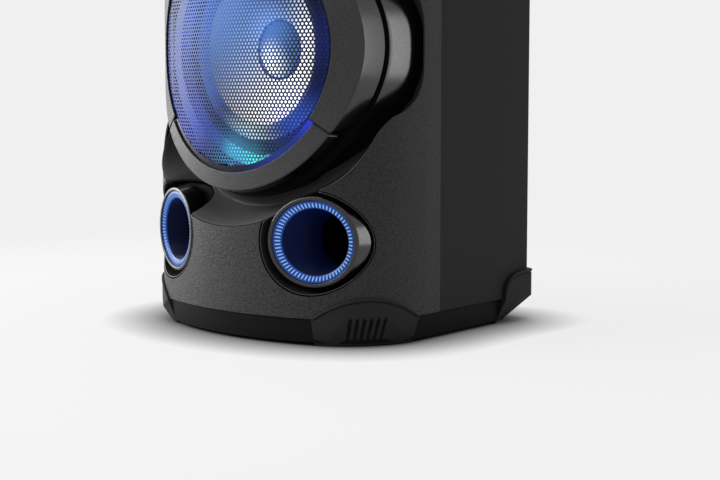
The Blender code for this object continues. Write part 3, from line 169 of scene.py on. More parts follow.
def finish_piece(name, grids, material, nodes, slot, body="cabinet", faces=None, wall=0.0, bevel=0.0, second=(),
                 third=(), solid=None):
    """Join grids into one mesh, with a node's own solid first if one is named.

    The second and third groups of grids take the second and third material. A piece with no given way to
    face is closed, and its open ends are filled. A piece with no body is left unattached.
    """
    points, quads, paints, start = [np.zeros((0, 3))], [np.zeros((0, 4), int)], [np.zeros(0, int)], 0
    for paint, group in enumerate((grids, second, third)):
        for grid in group:
            points.append(grid.reshape(-1, 3))
            quads.append(grid_quads(*grid.shape[:2]) + start)
            paints.append(np.full(len(quads[-1]), paint))
            start += len(points[-1])
    mesh = bpy.data.meshes.new(name)
    mesh.from_pydata(np.concatenate(points).tolist(), [], np.concatenate(quads).tolist())
    mesh.polygons.foreach_set("material_index", np.concatenate(paints))
    shape = bmesh.new()
    shape.from_mesh(mesh)
    bmesh.ops.remove_doubles(shape, verts=shape.verts[:], dist=2e-6)
    bmesh.ops.dissolve_degenerate(shape, edges=shape.edges[:], dist=1e-7)
    if solid:
        shape.from_mesh(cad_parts[solid].data)
        bmesh.ops.remove_doubles(shape, verts=shape.verts[:], dist=2e-6)
        bmesh.ops.dissolve_limit(shape, angle_limit=np.radians(1), verts=shape.verts[:], edges=shape.edges[:])
    if faces is None:
        bmesh.ops.holes_fill(shape, edges=[e for e in shape.edges if e.is_boundary], sides=0)
    bmesh.ops.recalc_face_normals(shape, faces=shape.faces[:])
    if faces is not None:
        way = np.sum([face.normal * face.calc_area() for face in shape.faces], 0)
        if way @ np.array(faces) < 0:
            bmesh.ops.reverse_faces(shape, faces=shape.faces[:])
    shape.to_mesh(mesh)
    shape.free()
    piece = bpy.data.objects.new(name, mesh)
    scene.collection.objects.link(piece)
    mesh.shade_smooth()
    for paint in material if isinstance(material, (list, tuple)) else [material]:
        mesh.materials.append(paint)
    if wall:
        thick = piece.modifiers.new("wall", "SOLIDIFY")
        thick.thickness = wall
        thick.offset = -1.0
        thick.use_even_offset = True
    if bevel:
        edge = piece.modifiers.new("edge", "BEVEL")
        edge.width = bevel
        edge.segments = 2
        edge.limit_method = "ANGLE"
        edge.angle_limit = np.radians(40)
    even = piece.modifiers.new("flat faces stay flat", "WEIGHTED_NORMAL")
    even.keep_sharp = True
    if body:
        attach(piece, body)
    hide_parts(*nodes)
    print("%-22s %6d faces" % (name, len(mesh.polygons)))
    return piece


print("a grid of 3 by 4 points has", len(grid_quads(3, 4)), "quads")

# %% [markdown]
# Materials are built from nodes only. One function turns a colour as it is written on screen (sRGB hex)
# into the linear numbers that a shader needs, and one adds a node with its settings and its links.

# %% Material helpers
def linear(code):
    """sRGB hex to linear RGBA: c / 12.92 below 0.04045, else ((c + 0.055) / 1.055) to the power 2.4."""
    c = np.array([int(code[k:k + 2], 16) for k in (1, 3, 5)]) / 255
    return tuple(np.where(c <= 0.04045, c / 12.92, ((c + 0.055) / 1.055) ** 2.4)) + (1.0,)


def add(tree, kind, sockets, **settings):
    """Add a node; each socket gets a value or a link from another node's output."""
    made = tree.nodes.new("ShaderNode" + kind)
    for key, value in settings.items():
        setattr(made, key, value)
    for key, value in sockets.items():
        if isinstance(value, bpy.types.NodeSocket):
            tree.links.new(value, made.inputs[key])
        else:
            made.inputs[key].default_value = value
    return made


def surface(name, **sockets):
    """A new material with one Principled shader; returns the material, its tree and the shader."""
    material = bpy.data.materials.new(name)
    material.use_nodes = True
    tree = material.node_tree
    shader = tree.nodes["Principled BSDF"]
    for key, value in sockets.items():
        shader.inputs[key.replace("_", " ")].default_value = value
    return material, tree, shader


def moulded(name, dark, light, roughness, grain, depth, ior=1.53, sheen=0.3):
    """A moulded or coated skin: mottled colour, a pebbled bump of that grain, and slightly varied roughness.

    Sheen is the share of the mirror light that gets out of the grain: 0.5 on a smooth skin, less among pits.
    """
    material, tree, shader = surface(name, IOR=ior, Specular_IOR_Level=sheen)
    at = add(tree, "TexCoord", {}).outputs["Object"]
    cloud = add(tree, "TexNoise", {"Vector": at, "Scale": 1 / (60 * MM), "Detail": 3.0}).outputs["Fac"]
    pebble = add(tree, "TexNoise", {"Vector": at, "Scale": 1 / grain, "Detail": 2.0}).outputs["Fac"]
    calm = add(tree, "MapRange", {"Value": cloud, "To Min": 0.44, "To Max": 0.56}).outputs["Result"]
    both = add(tree, "Math", {0: calm, 1: pebble}, operation="MULTIPLY").outputs[0]
    tint = add(tree, "ValToRGB", {"Fac": both})
    tint.color_ramp.elements[0].position, tint.color_ramp.elements[0].color = 0.15, linear(dark)
    tint.color_ramp.elements[1].position, tint.color_ramp.elements[1].color = 0.35, linear(light)
    rough = add(tree, "MapRange", {"Value": pebble, "To Min": roughness - 0.05, "To Max": roughness + 0.05})
    bump = add(tree, "Bump", {"Height": pebble, "Strength": 0.6, "Distance": depth})
    tree.links.new(tint.outputs["Color"], shader.inputs["Base Color"])
    tree.links.new(rough.outputs["Result"], shader.inputs["Roughness"])
    tree.links.new(bump.outputs["Normal"], shader.inputs["Normal"])
    return material


def metal(name, dark, light, roughness, grain, stretch):
    """Bare metal: colour and roughness vary with a fine grain that is stretched along the way it was worked."""
    material, tree, shader = surface(name, Metallic=1.0)
    at = add(tree, "TexCoord", {}).outputs["Object"]
    drawn = add(tree, "Mapping", {"Vector": at, "Scale": stretch}).outputs["Vector"]
    streak = add(tree, "TexNoise", {"Vector": drawn, "Scale": 1 / grain, "Detail": 3.0}).outputs["Fac"]
    tint = add(tree, "ValToRGB", {"Fac": streak})
    tint.color_ramp.elements[0].color, tint.color_ramp.elements[1].color = linear(dark), linear(light)
    rough = add(tree, "MapRange", {"Value": streak, "To Min": roughness - 0.06, "To Max": roughness + 0.06})
    tree.links.new(tint.outputs["Color"], shader.inputs["Base Color"])
    tree.links.new(rough.outputs["Result"], shader.inputs["Roughness"])
    return material


print("screen grey #808080 is %.3f in linear light" % linear("#808080")[0])

# %% [markdown]
# The dark skins. The front is ABS moulded against an etched tool, which leaves a pebbled grain of about a
# millimetre; the rings' faces are the same plastic with a finer etch; the flanks of the rings and of the
# drum are polished, and the moat's floor has a dull satin face. The box is fibreboard wrapped in smooth
# black vinyl film, and the feet are moulded rubber. The finest grains are drawn two or three times coarser
# than life, so that they still show in the picture.

# %% Plastics, vinyl and rubber
grained_abs = moulded("moulded_abs_grained", "#0a0a0a", "#343434", 0.44, 1.4 * MM, 0.85 * MM, sheen=0.19)
ring_abs = moulded("moulded_abs_fine_grain", "#1e1e1f", "#3a3a3b", 0.48, 1.2 * MM, 0.45 * MM, sheen=0.30)
satin_abs = moulded("moulded_abs_satin", "#1a1a1b", "#222223", 0.34, 0.9 * MM, 0.04 * MM, sheen=0.4)
gloss_abs = moulded("moulded_abs_polished", "#050505", "#080808", 0.19, 3.0 * MM, 0.02 * MM, sheen=0.65)
moat_abs = moulded("moulded_abs_in_moat", "#343435", "#404041", 0.55, 0.9 * MM, 0.04 * MM, sheen=0.15)
# Painted shade: the groove behind the ring is near-black and dull where the ring's shadow falls.
groove_painted_shade = moulded("moulded_abs_groove_painted_shade", "#040404", "#060606", 0.70, 0.9 * MM, 0.04 * MM, sheen=0.05)
plinth_abs = moulded("moulded_abs_plinth", "#080808", "#0c0c0c", 0.62, 0.8 * MM, 0.06 * MM, sheen=0.09)
matt_abs = moulded("moulded_abs_matt", "#0e0e0e", "#151515", 0.55, 0.8 * MM, 0.06 * MM)
vinyl_wrap = moulded("vinyl_film_on_board", "#252525", "#2a2a2a", 0.80, 1.0 * MM, 0.04 * MM, 1.50, 0.18)
rubber = moulded("moulded_rubber", "#1f1f1f", "#272727", 0.60, 1.0 * MM, 0.06 * MM, 1.52, 0.10)
steel_coat_painted_light = moulded("powder_coated_steel_painted_light", "#08080a", "#0c0c10", 0.45, 0.9 * MM, 0.02 * MM, 1.50, 0.12)
zinc_steel = metal("zinc_plated_steel", "#9a9ca2", "#aeb0b6", 0.32, 5.0 * MM, (1.0, 1.0, 1.0))
print("materials so far:", len(bpy.data.materials))

# %% [markdown]
# Camera and light come first, so that every piece can be judged as it is made. The camera was fitted to the
# photograph from the plan's arcs, the ring and the ports: a 66 mm lens, 41 degrees round to the right of
# the front, a little below the middle of the box and looking slightly down.

# %% Camera
lens = bpy.data.cameras.new("camera")
lens.lens, lens.sensor_width, lens.shift_y = 66.32, 36.0, -0.04
camera = bpy.data.objects.new("camera", lens)
camera.location = (0.9442, -1.0344, 0.2387)
camera.rotation_euler = np.radians((90 - 5.061, 0.0, 40.847))
scene.collection.objects.link(camera)
scene.camera = camera
scene.view_settings.view_transform = "Standard"
print("camera: %.1f mm lens" % lens.lens)

# %% [markdown]
# The surround is a plain white world. Seen straight, in a mirror or through glass it is full white; the
# soft light that it throws on the object is only about a third of that, so that the dark plastics keep
# their contrast. A light-path node tells the two apart.

# %% White surround
def eye_rays(tree):
    """1 for a ray from the camera, straight or by a mirror or glass; 0 for light that falls on the object."""
    path = add(tree, "LightPath", {})
    seen = path.outputs["Is Camera Ray"]
    for kind in ("Is Glossy Ray", "Is Transmission Ray"):
        seen = add(tree, "Math", {0: seen, 1: path.outputs[kind]}, operation="MAXIMUM").outputs[0]
    return seen


SURROUND, SURROUND_LIGHT = "#f0f0f0", 0.35
world = bpy.data.worlds.new("white surround")
scene.world = world
world.use_nodes = True
sky = world.node_tree
dim = add(sky, "Background", {"Color": linear(SURROUND), "Strength": SURROUND_LIGHT})
bright = add(sky, "Background", {"Color": linear(SURROUND), "Strength": 1.0})
chosen = add(sky, "MixShader", {0: eye_rays(sky), 1: dim.outputs[0], 2: bright.outputs[0]})
sky.links.new(chosen.outputs[0], sky.nodes["World Output"].inputs["Surface"])
print("surround:", SURROUND, "and as a lamp", SURROUND_LIGHT)

# %% [markdown]
# The floor is a round sheet of pale paper that fades into the surround, so that no horizon shows. Most of
# its white is its own, evenly bright, as in an overlit studio. Ambient occlusion darkens it close to the
# feet, which is what makes the speaker stand on it.

# %% Floor
FLOOR_NEAR, FLOOR_FAR, FLOOR_EDGE = 0.45, 1.10, 1.3
FLOOR_OWN, CONTACT, CONTACT_POWER = 0.9, 0.07, 2.6
paper_floor, tree, shader = surface("pale_paper_sweep", Roughness=0.9)
at = add(tree, "TexCoord", {}).outputs["Object"]
fibre = add(tree, "TexNoise", {"Vector": at, "Scale": 1 / (4 * MM)}).outputs["Fac"]
tone = add(tree, "ValToRGB", {"Fac": fibre})
tone.color_ramp.elements[0].color, tone.color_ramp.elements[1].color = linear("#e6e6e6"), linear("#f0f0f0")
tree.links.new(tone.outputs["Color"], shader.inputs["Base Color"])
away = add(tree, "VectorMath", {0: at}, operation="LENGTH").outputs["Value"]
fade = add(tree, "MapRange", {"Value": away, "From Min": FLOOR_NEAR, "From Max": FLOOR_FAR},
           interpolation_type="SMOOTHSTEP")
open_sky = add(tree, "AmbientOcclusion", {"Distance": CONTACT}, samples=12).outputs["AO"]
shade = add(tree, "Math", {0: open_sky, 1: CONTACT_POWER}, operation="POWER").outputs[0]
paper_white = add(tree, "Emission", {"Color": linear("#f1f1f1"), "Strength": shade})
share = add(tree, "Math", {0: eye_rays(tree), 1: FLOOR_OWN}, operation="MULTIPLY").outputs[0]
paper = add(tree, "MixShader", {0: share, 1: shader.outputs[0], 2: paper_white.outputs[0]})
clear = add(tree, "BsdfTransparent", {})
blend = add(tree, "MixShader", {0: fade.outputs["Result"], 1: paper.outputs[0], 2: clear.outputs[0]})
tree.links.new(blend.outputs[0], tree.nodes["Material Output"].inputs["Surface"])
radii = np.linspace(0, FLOOR_EDGE, 14)[:, None]
sheet = upright(radii, 0.0 * radii, round_turn(48)[::-1])
floor_mesh = bpy.data.meshes.new("floor")
floor_mesh.from_pydata(sheet.reshape(-1, 3).tolist(), [], grid_quads(*sheet.shape[:2]).tolist())
floor_mesh.materials.append(paper_floor)
floor = bpy.data.objects.new("floor", floor_mesh)
scene.collection.objects.link(floor)
print("floor: %.1f m across" % (2 * FLOOR_EDGE))

# %% [markdown]
# Dark plastics show their shape by what they mirror, so the lamps are large and soft: two at the left, a
# thin strip behind at the right, and one above.

# %% Lamps
def softbox(name, place, aim, width, height, power):
    """A rectangular area lamp that faces a point."""
    lamp = bpy.data.lights.new(name, "AREA")
    lamp.shape, lamp.size, lamp.size_y, lamp.energy = "RECTANGLE", width, height, power
    holder = bpy.data.objects.new(name, lamp)
    holder.location = place
    way = np.array(aim) - np.array(place)
    turn = np.arctan2(way[1], way[0])
    tilt = np.arctan2(np.hypot(way[0], way[1]), -way[2])
    holder.rotation_euler = (tilt, 0.0, turn - np.pi / 2)
    scene.collection.objects.link(holder)


AIM = (0.0, 0.0, 0.25)
softbox("key_left", (-1.75, -0.50, 0.60), AIM, 1.0, 1.1, 36.0)
softbox("fill_left", (-1.30, -1.60, 1.30), AIM, 1.0, 1.0, 44.0)
softbox("strip_right", (1.71, 0.62, 0.35), AIM, 0.20, 1.0, 3.0)
softbox("top", (0.0, 0.1, 2.1), AIM, 1.6, 1.6, 22.0)
print("lamps:", len(bpy.data.lights))

# %% [markdown]
# The moulded front is one skin with a huge round opening for the woofer's moat, four round wells that cut
# into it, and a display window. Boolean cuts would leave ragged edges that shade badly, so the skin is
# drawn as ruled patches in s and z instead: each runs straight from the edge of an opening to a plain line,
# which gives clean edges for the small bevel that catches the light.

# %% Openings of the front
MOAT_RADIUS, WELL_RADIUS = 173 * MM, 51 * MM
NOTCH_Y = -39.6 * MM
NOTCH_X = CORNER_X + np.sqrt(CORNER_RADIUS ** 2 - (CORNER_Y - NOTCH_Y) ** 2)
SKIN = 1.6 * MM
DISPLAY_LOW, DISPLAY_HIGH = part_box("display_window")[0].z - GAP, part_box("display_window")[1].z + GAP
DISPLAY_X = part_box("display_window")[1].x + GAP
notch_s, seam_s = along(NOTCH_X), CORNER_LENGTH + SEAM_Y - CORNER_Y - 0.15 * MM
notch_z = np.sqrt(MOAT_RADIUS ** 2 - NOTCH_X ** 2)
reach = np.hypot(PORT_X, WOOFER_Z - PORT_Z)
from_port = np.arctan2(WOOFER_Z - PORT_Z, -PORT_X)
from_moat = np.arctan2(PORT_Z - WOOFER_Z, PORT_X)
port_half = np.arccos((reach ** 2 + WELL_RADIUS ** 2 - MOAT_RADIUS ** 2) / (2 * reach * WELL_RADIUS))
moat_half = np.arccos((reach ** 2 + MOAT_RADIUS ** 2 - WELL_RADIUS ** 2) / (2 * reach * MOAT_RADIUS))
SWING, SWING_FROM, SWING_TO = 4 * MM, np.arcsin(notch_z / MOAT_RADIUS), -from_moat - moat_half
print("a port's well cuts the moat for %.1f degrees" % np.degrees(2 * moat_half))

# %% [markdown]
# The patches are drawn for the right half, from a level line up to the woofer's axis. The tweeters stand as
# far above that axis as the ports below it, so the upper half is the lower one turned over, with plain
# bands beside and above the display window, and the left half is its mirror image.

# %% Moulded front
def arc(x, z, radius, first, last, count):
    """Points (s, z) on a circle that is drawn on the front view, by angle."""
    turn = np.linspace(first, last, count)
    return np.stack([along(x + radius * np.cos(turn)), z + radius * np.sin(turn)], -1)


def ruled(edge, base, rows):
    """Each point slides straight from the edge to the base line."""
    share = np.linspace(0, 1, rows)[:, None, None]
    return edge * (1 - share) + base * share


def moat_rim(turn):
    """The opening's radius: a circle, less one sine wave between the side wall and the port's well."""
    steep = np.arctan2(np.abs(np.sin(turn)), np.abs(np.cos(turn)))
    share = np.clip((steep - SWING_FROM) / (SWING_TO - SWING_FROM), 0, 1)
    return MOAT_RADIUS - SWING * np.sin(2 * np.pi * share)


def front_patches(floor_z):
    """The skin between a level line and the woofer's axis, right half, as grids in (s, z)."""
    quarter, rows = 1.25 * np.pi, 16
    low_turn = np.concatenate([np.linspace(quarter, 1.5 * np.pi, 18),
                               np.linspace(1.5 * np.pi, 2 * np.pi, 36)[1:]])
    window_s = along(DISPLAY_X)
    inner_s = np.linspace(0, window_s, 12)
    under = np.where(low_turn < 1.5 * np.pi, np.interp(low_turn, [quarter, 1.5 * np.pi], [DISPLAY_X, PORT_X]),
                     PORT_X + 55 * MM * np.cos(low_turn))
    stations = np.concatenate([along(under), np.linspace(along(under[-1:])[0], notch_s, 9)[1:]])
    well_left = arc(PORT_X, PORT_Z, WELL_RADIUS, from_port + port_half, quarter, 26)
    moat_first = arc(0.0, WOOFER_Z, MOAT_RADIUS, from_moat - moat_half, -np.pi / 2, rows)
    inner = np.concatenate([np.linspace(moat_first[-1], (0.0, floor_z), 15)[:-1],
                            np.stack([inner_s, np.full(12, floor_z)], -1)])
    left = ruled(well_left, inner, rows)
    sag = moat_first - left[:, 0]
    left += sag[:, None, :] * np.linspace(1, 0, len(well_left))[None, :, None]
    well_low = np.stack([along(PORT_X + WELL_RADIUS * np.cos(low_turn)),
                         PORT_Z + WELL_RADIUS * np.sin(low_turn)], -1)
    beside = (along(PORT_X + WELL_RADIUS), PORT_Z)
    edge = np.concatenate([well_low, np.linspace(beside, (notch_s, PORT_Z), 9)[1:]])
    below = ruled(edge, np.stack([stations, np.full_like(stations, floor_z)], -1), rows)
    well_high = arc(PORT_X, PORT_Z, WELL_RADIUS, 0.0, from_port - port_half, 18)
    swept = np.linspace(-SWING_TO, -SWING_FROM, 28)
    moat_last = arc(0.0, WOOFER_Z, moat_rim(swept), -SWING_TO, -SWING_FROM, 28)
    start, corner, t = moat_last[-5], moat_last[-1], np.linspace(0, 1, 13)[:, None]
    above = corner + (0.0, np.hypot(*(corner - start)))
    curve = (1 - t) ** 2 * start + 2 * t * (1 - t) * corner + t ** 2 * above
    edge = np.concatenate([well_high, moat_last[1:-5], curve[:7]])
    upright_line = np.linspace((notch_s, PORT_Z), (notch_s, curve[6, 1]), len(edge))
    right = ruled(edge, upright_line, 9)
    gusset = ruled(curve[6:], np.stack([np.full(7, notch_s), curve[6:, 1]], -1), 4)
    levels = np.concatenate([below[::-1, -1, 1], upright_line[1:, 1], curve[7:, 1],
                             np.linspace(curve[-1, 1], WOOFER_Z, 7)[1:]])
    strip = np.stack(np.broadcast_arrays(strip_s[None, :], levels[:, None]), -1)
    return [left, below, right, gusset, strip], np.concatenate([inner_s, stations[1:]])


def level_band(stations, low, high, rows):
    """A plain band of the skin between two heights."""
    return np.stack(np.broadcast_arrays(stations[None, :], np.linspace(low, high, rows)[:, None]), -1)


def wrapped(patch, side=1):
    """Wrap a grid in (s, z) round the box."""
    x, y = plan(patch[..., 0])
    return np.stack([side * x, y, patch[..., 1]], -1)


strip_s = np.linspace(notch_s, seam_s, 7)
flat, stations = front_patches(BOX_FLOOR)
upper, stations = front_patches(2 * WOOFER_Z - DISPLAY_LOW)
for patch in upper:
    patch[..., 1] = 2 * WOOFER_Z - patch[..., 1]
window = int(np.argmin(np.abs(stations - along(DISPLAY_X))))
flat += upper
flat.append(level_band(stations[window:], DISPLAY_LOW, DISPLAY_HIGH, 6))
flat.append(level_band(stations, DISPLAY_HIGH, SHELL_TOP, 5))
flat.append(level_band(strip_s, DISPLAY_LOW, DISPLAY_HIGH, 6))
flat.append(level_band(strip_s, DISPLAY_HIGH, SHELL_TOP, 5))
finish_piece("moulded_front", [wrapped(patch, side) for patch in flat for side in (1, -1)], grained_abs,
             ["front_shell"], "textured_abs", faces=(0, -1, 0), wall=SKIN, bevel=0.5 * MM)

# %% [markdown]
# The moat is the channel round the woofer: a floor well behind the front that sweeps up in a cove to the
# edge of the skin, an inner wall (the drum's outside, a cone that opens backwards by 13 degrees), and a
# groove under the ring, coloured near-black and dull as painted shade. It is a section carried round the
# woofer's axis, cut short where the ports' and horns' wells cross it.

# %% Moat
RING_OUTER, RING_INNER = 139 * MM, 121.2 * MM
RING_SETBACK, DOME_RADIUS = 4.5 * MM, 1.135
BOWL_INNER, FLARE = RING_OUTER + 1.25 * MM, np.tan(np.radians(13.0))
MOAT_DEPTH, COVE_START, COVE_POWER = 60 * MM, 0.3, 1.5
RING_DEPTH, GROOVE, COLLAR = 20 * MM, 6 * MM, RING_OUTER - 4 * MM


def ring_y(x, z):
    """The ring's and grille's face: the front's own curve set back a little, plus a slight dome up and down."""
    return front_y(x) + RING_SETBACK + z ** 2 / (2 * DOME_RADIUS)


def moat_edge(turn):
    """The moat's outer radius: its own edge, or the inside of the side wall where that is nearer."""
    side = np.maximum(np.abs(np.cos(turn)), 1e-3)
    return np.minimum(moat_rim(turn) - 1.2 * MM, (HALF - SKIN - 0.5 * MM) / side)


def moat_levels(turn):
    """How far back the moat's floor and its outer edge lie."""
    side = np.cos(turn)
    edge_y = np.minimum(front_y(MOAT_RADIUS * side), NOTCH_Y) + 1.0 * MM
    deep = MOAT_DEPTH - 12 * MM * np.clip((np.abs(np.sin(turn)) - 0.5) / 0.3, 0, 1)
    return np.maximum(front_y((BOWL_INNER + moat_edge(turn)) / 2 * side) + deep, edge_y + 2.5 * MM), edge_y


def drum_radius(turn, y):
    """The drum's outside: a cone that grows by the flare from the ring's face backwards."""
    return BOWL_INNER + FLARE * (y - ring_y(RING_OUTER * np.cos(turn), RING_OUTER * np.sin(turn)))


def moat_y(turn, radius):
    """Floor plus (edge minus floor) times a power of how far the cove has climbed."""
    edge, (floor_y, edge_y) = moat_edge(turn), moat_levels(turn)
    base = drum_radius(turn, floor_y)
    climb = np.clip(((radius - base) / (edge - base) - COVE_START) / (1 - COVE_START), 0, 1)
    return floor_y + (edge_y - floor_y) * climb ** COVE_POWER


def moat_reach(turn, well):
    """The moat's edge, cut short by the nearest well of that radius."""
    side, up = np.abs(np.cos(turn)), np.sin(turn)
    rise = np.where(up > 0, TWEETER_Z - WOOFER_Z, WOOFER_Z - PORT_Z)
    ahead = PORT_X * side + rise * np.abs(up)
    across = np.abs(PORT_X * np.abs(up) - rise * side)
    cut = ahead - np.sqrt(np.maximum(well ** 2 - across ** 2, 0))
    return np.where(across < well, np.minimum(moat_edge(turn), cut), moat_edge(turn))


turn = round_turn(480)[None, :]
outer = moat_reach(turn, WELL_RADIUS - 0.6 * MM)
floor_y = moat_levels(turn)[0]
groove_y = ring_y(BOWL_INNER * np.cos(turn), BOWL_INNER * np.sin(turn)) + RING_DEPTH + GROOVE
base = drum_radius(turn, floor_y)
fillet = np.minimum(7 * MM, 0.6 * (outer - base))
channel = outer + (base + fillet - outer) * np.linspace(0, 1, 16)[:, None]
bend = np.linspace(0, np.pi / 2, 7)[:, None]
bend_y = floor_y - fillet * (1 - np.cos(bend))
bend_r = drum_radius(turn, bend_y) + fillet * (1 - np.sin(bend))
wall_y = bend_y[-1:] + (groove_y + 0.6 * MM - bend_y[-1:]) * np.linspace(0, 1, 8)[:, None]
wall_r = drum_radius(turn, wall_y)
groove_r = np.concatenate([wall_r[-1:], wall_r[-1:] - 0.6 * MM, COLLAR + 0 * turn, COLLAR + 0 * turn])
groove_y = np.concatenate([wall_y[-1:], groove_y, groove_y, groove_y - RING_DEPTH])
cove = hoop(np.concatenate([channel, bend_r]), np.concatenate([moat_y(turn, channel), bend_y]), turn,
            z=WOOFER_Z)
finish_piece("woofer_moat", [cove], [moat_abs, gloss_abs, groove_painted_shade], ["woofer_bowl"], "gloss_abs",
             faces=(0, -1, 0), wall=1.0 * MM, second=[hoop(wall_r, wall_y, turn, z=WOOFER_Z)],
             third=[hoop(groove_r, groove_y, turn, z=WOOFER_Z)])

# %% [markdown]
# The trim ring is two mouldings: a deep C-shaped ring over the top, and a shallow separate chin below. Both
# are one section with softly rounded edges and a flank that flares like the drum's, carried along an arc
# and bent to the front's dome.

# %% Trim rings
SEAM, SLIT = np.radians(36.2), 0.003
CHIN_DEPTH, LIP, FLANGE, FLANGE_INNER = 10 * MM, 2.5 * MM, 2.1 * MM, 115.6 * MM


def trim_ring(name, depth, inner, first, last, steps, nodes, slant):
    """The ring's section carried from one angle to another; the slant draws its ends in with depth."""
    turn = np.linspace(first, last, steps)
    skirt = RING_OUTER + FLARE * depth
    corners = np.array([(RING_OUTER, 0), (skirt, depth), (skirt - LIP, depth), (RING_OUTER - LIP, LIP),
                        (RING_INNER + LIP, LIP), (RING_INNER + LIP, CHIN_DEPTH - LIP),
                        (RING_INNER, CHIN_DEPTH - LIP), (RING_INNER, FLANGE), (inner, FLANGE), (inner, 0)])
    edges = np.array([1.4, 0.8, 0.4, 0.4, 0.4, 0.4, 0.4, 0.3, 0.3, 0.6]) * MM
    section = closed(rounded(corners, edges, 6))
    radius, back = section[:, :1], section[:, 1:]
    inward = np.clip(1 - np.arange(steps) / 14, 0, 1) - np.clip(1 - np.arange(steps)[::-1] / 14, 0, 1)
    turn = turn[None, :] + slant * back * inward[None, :]
    y = ring_y(radius * np.cos(turn), radius * np.sin(turn)) + back
    grid = hoop(radius, y, turn, z=WOOFER_Z)
    finish_piece(name, [grid[:5], grid[11:]], [ring_abs, gloss_abs], nodes, "satin_abs", second=[grid[4:12]])


trim_ring("trim_ring_upper", RING_DEPTH, FLANGE_INNER, SLIT - SEAM, np.pi + SEAM - SLIT, 220,
          ["upper_ring"], 4.4)
trim_ring("trim_ring_chin", CHIN_DEPTH, RING_INNER - 0.05 * MM, np.pi + SEAM + SLIT, 2 * np.pi - SEAM - SLIT,
          100, ["chin_ring"], 0.0)

# %% [markdown]
# Behind the grille a ring of coloured lamps shines on the driver, and the light spills over the rims of the
# holes. Real lamps so small and so many would make a noisy picture, so that light is painted on instead:
# each material in there glows with a few soft pools of painted light, placed in the plane of the woofer,
# which stay where they are from any side. Only the woofer's light guide is itself a lamp. The grille's own
# bars catch other light than the driver behind them, so they have a list of their own, and the grille's
# border has one too. The ports' lights have their hue set by the angle round the point midway between them
# instead. Under the light the paper pulp is matt, and the butyl roll, the glue and the light guides are
# smoother and keep a soft sheen.

# %% Painted light of the woofer
def lamp_hues(tree, stops, centre_z):
    """A colour ramp read by the angle round an axis along Y: 0 at the left, then bottom, right and top."""
    at = add(tree, "TexCoord", {}).outputs["Object"]
    near = add(tree, "Mapping", {"Vector": at, "Location": (0.0, 0.0, -centre_z)}).outputs["Vector"]
    part = add(tree, "SeparateXYZ", {"Vector": near})
    turn = add(tree, "Math", {0: part.outputs["Z"], 1: part.outputs["X"]}, operation="ARCTAN2").outputs[0]
    share = add(tree, "MapRange", {"Value": turn, "From Min": -np.pi, "From Max": np.pi}).outputs["Result"]
    ramp = add(tree, "ValToRGB", {"Fac": share})
    while len(ramp.color_ramp.elements) < len(stops):
        ramp.color_ramp.elements.new(0.5)
    for stop, (position, code) in zip(ramp.color_ramp.elements, stops):
        stop.position, stop.color = position, linear(code)
    return ramp.outputs["Color"]


# Pools of painted light: x and z from the woofer's axis and radius in millimetres, colour, strength.
CONE_POOLS = [(-40, 40, 130, "#88b4ff", 0.75), (25, -50, 112, "#ffffff", 1.60), (62, 25, 55, "#f0f6ff", 0.90)]
CAP_POOLS = [(0, 0, 80, "#6c98dc", 0.80), (-8, -13, 30, "#ffffff", 1.60)]
BEAD_POOLS = [(0, 0, 80, "#3868c0", 0.90)]
DRIVER_POOLS = [
    (-100, 20, 90, "#3450d8", 0.90), (-80, -80, 60, "#3050d0", 0.80), (-14, -112, 26, "#40f0d0", 1.10),
    (-38, -100, 24, "#60e8ff", 0.90), (0, -100, 45, "#70b8e8", 0.60), (85, -75, 60, "#2048e0", 0.60),
    (110, 10, 60, "#16246e", 0.35)]
DRUM_POOLS = [
    (-130, 40, 80, "#a0b4ff", 0.80), (-124, -30, 60, "#a0b4ff", 0.80), (-95, -75, 40, "#5068d8", 0.80),
    (0, -120, 60, "#2c5ac8", 0.60), (95, -60, 60, "#2038c0", 0.60)]
ROLL_POOLS = [
    (-70, 30, 90, "#4468d8", 1.00), (-68, -45, 60, "#4c74e0", 1.00), (-10, -82, 50, "#d8f4ff", 1.10),
    (50, -70, 45, "#5080e8", 0.80), (85, 0, 80, "#2038a0", 0.60)]
BORDER_POOLS = [(96, -62, 40, "#2038d0", 1.00), (60, -100, 55, "#1a3488", 0.80), (115, 10, 70, "#0c1040", 0.60)]
BAR_POOLS = [
    (-20, 45, 125, "#4673be", 0.85), (-105, -10, 60, "#20288c", 0.60), (-75, -80, 75, "#3c58c8", 0.80),
    (5, -108, 50, "#4690c8", 0.80), (85, -75, 55, "#203ca8", 0.70), (55, 18, 34, "#4070c0", 0.80),
    (0, 0, 125, "#26406c", 0.35), (112, 10, 50, "#101848", 0.60)]


def painted_light_pools(tree, pools):
    """Painted light: all pools summed, each fading smoothly from its centre to its radius in the plane of x and
    z.
    """
    at = add(tree, "TexCoord", {}).outputs["Object"]
    near = add(tree, "Mapping", {"Vector": at, "Location": (0.0, 0.0, -WOOFER_Z), "Scale": (1.0, 0.0, 1.0)})
    flat = near.outputs["Vector"]
    total = (0.0, 0.0, 0.0)
    for x, z, radius, code, strength in pools:
        away = add(tree, "VectorMath", {0: flat, 1: (x * MM, 0.0, z * MM)}, operation="DISTANCE")
        fade = add(tree, "MapRange", {"Value": away.outputs["Value"], "From Min": radius * MM, "From Max": 0.0,
                                      "To Max": strength}, interpolation_type="SMOOTHSTEP")
        light = add(tree, "VectorMath", {0: linear(code)[:3], "Scale": fade.outputs["Result"]},
                    operation="SCALE").outputs["Vector"]
        total = add(tree, "VectorMath", {0: total, 1: light}, operation="ADD").outputs["Vector"]
    return total


def lit(material, level, pools=DRIVER_POOLS):
    """Paint the lamps' light on a material as a glow, at a level of its own."""
    tree = material.node_tree
    shader = tree.nodes["Principled BSDF"]
    tree.links.new(painted_light_pools(tree, pools), shader.inputs["Emission Color"])
    shader.inputs["Emission Strength"].default_value = level
    return material
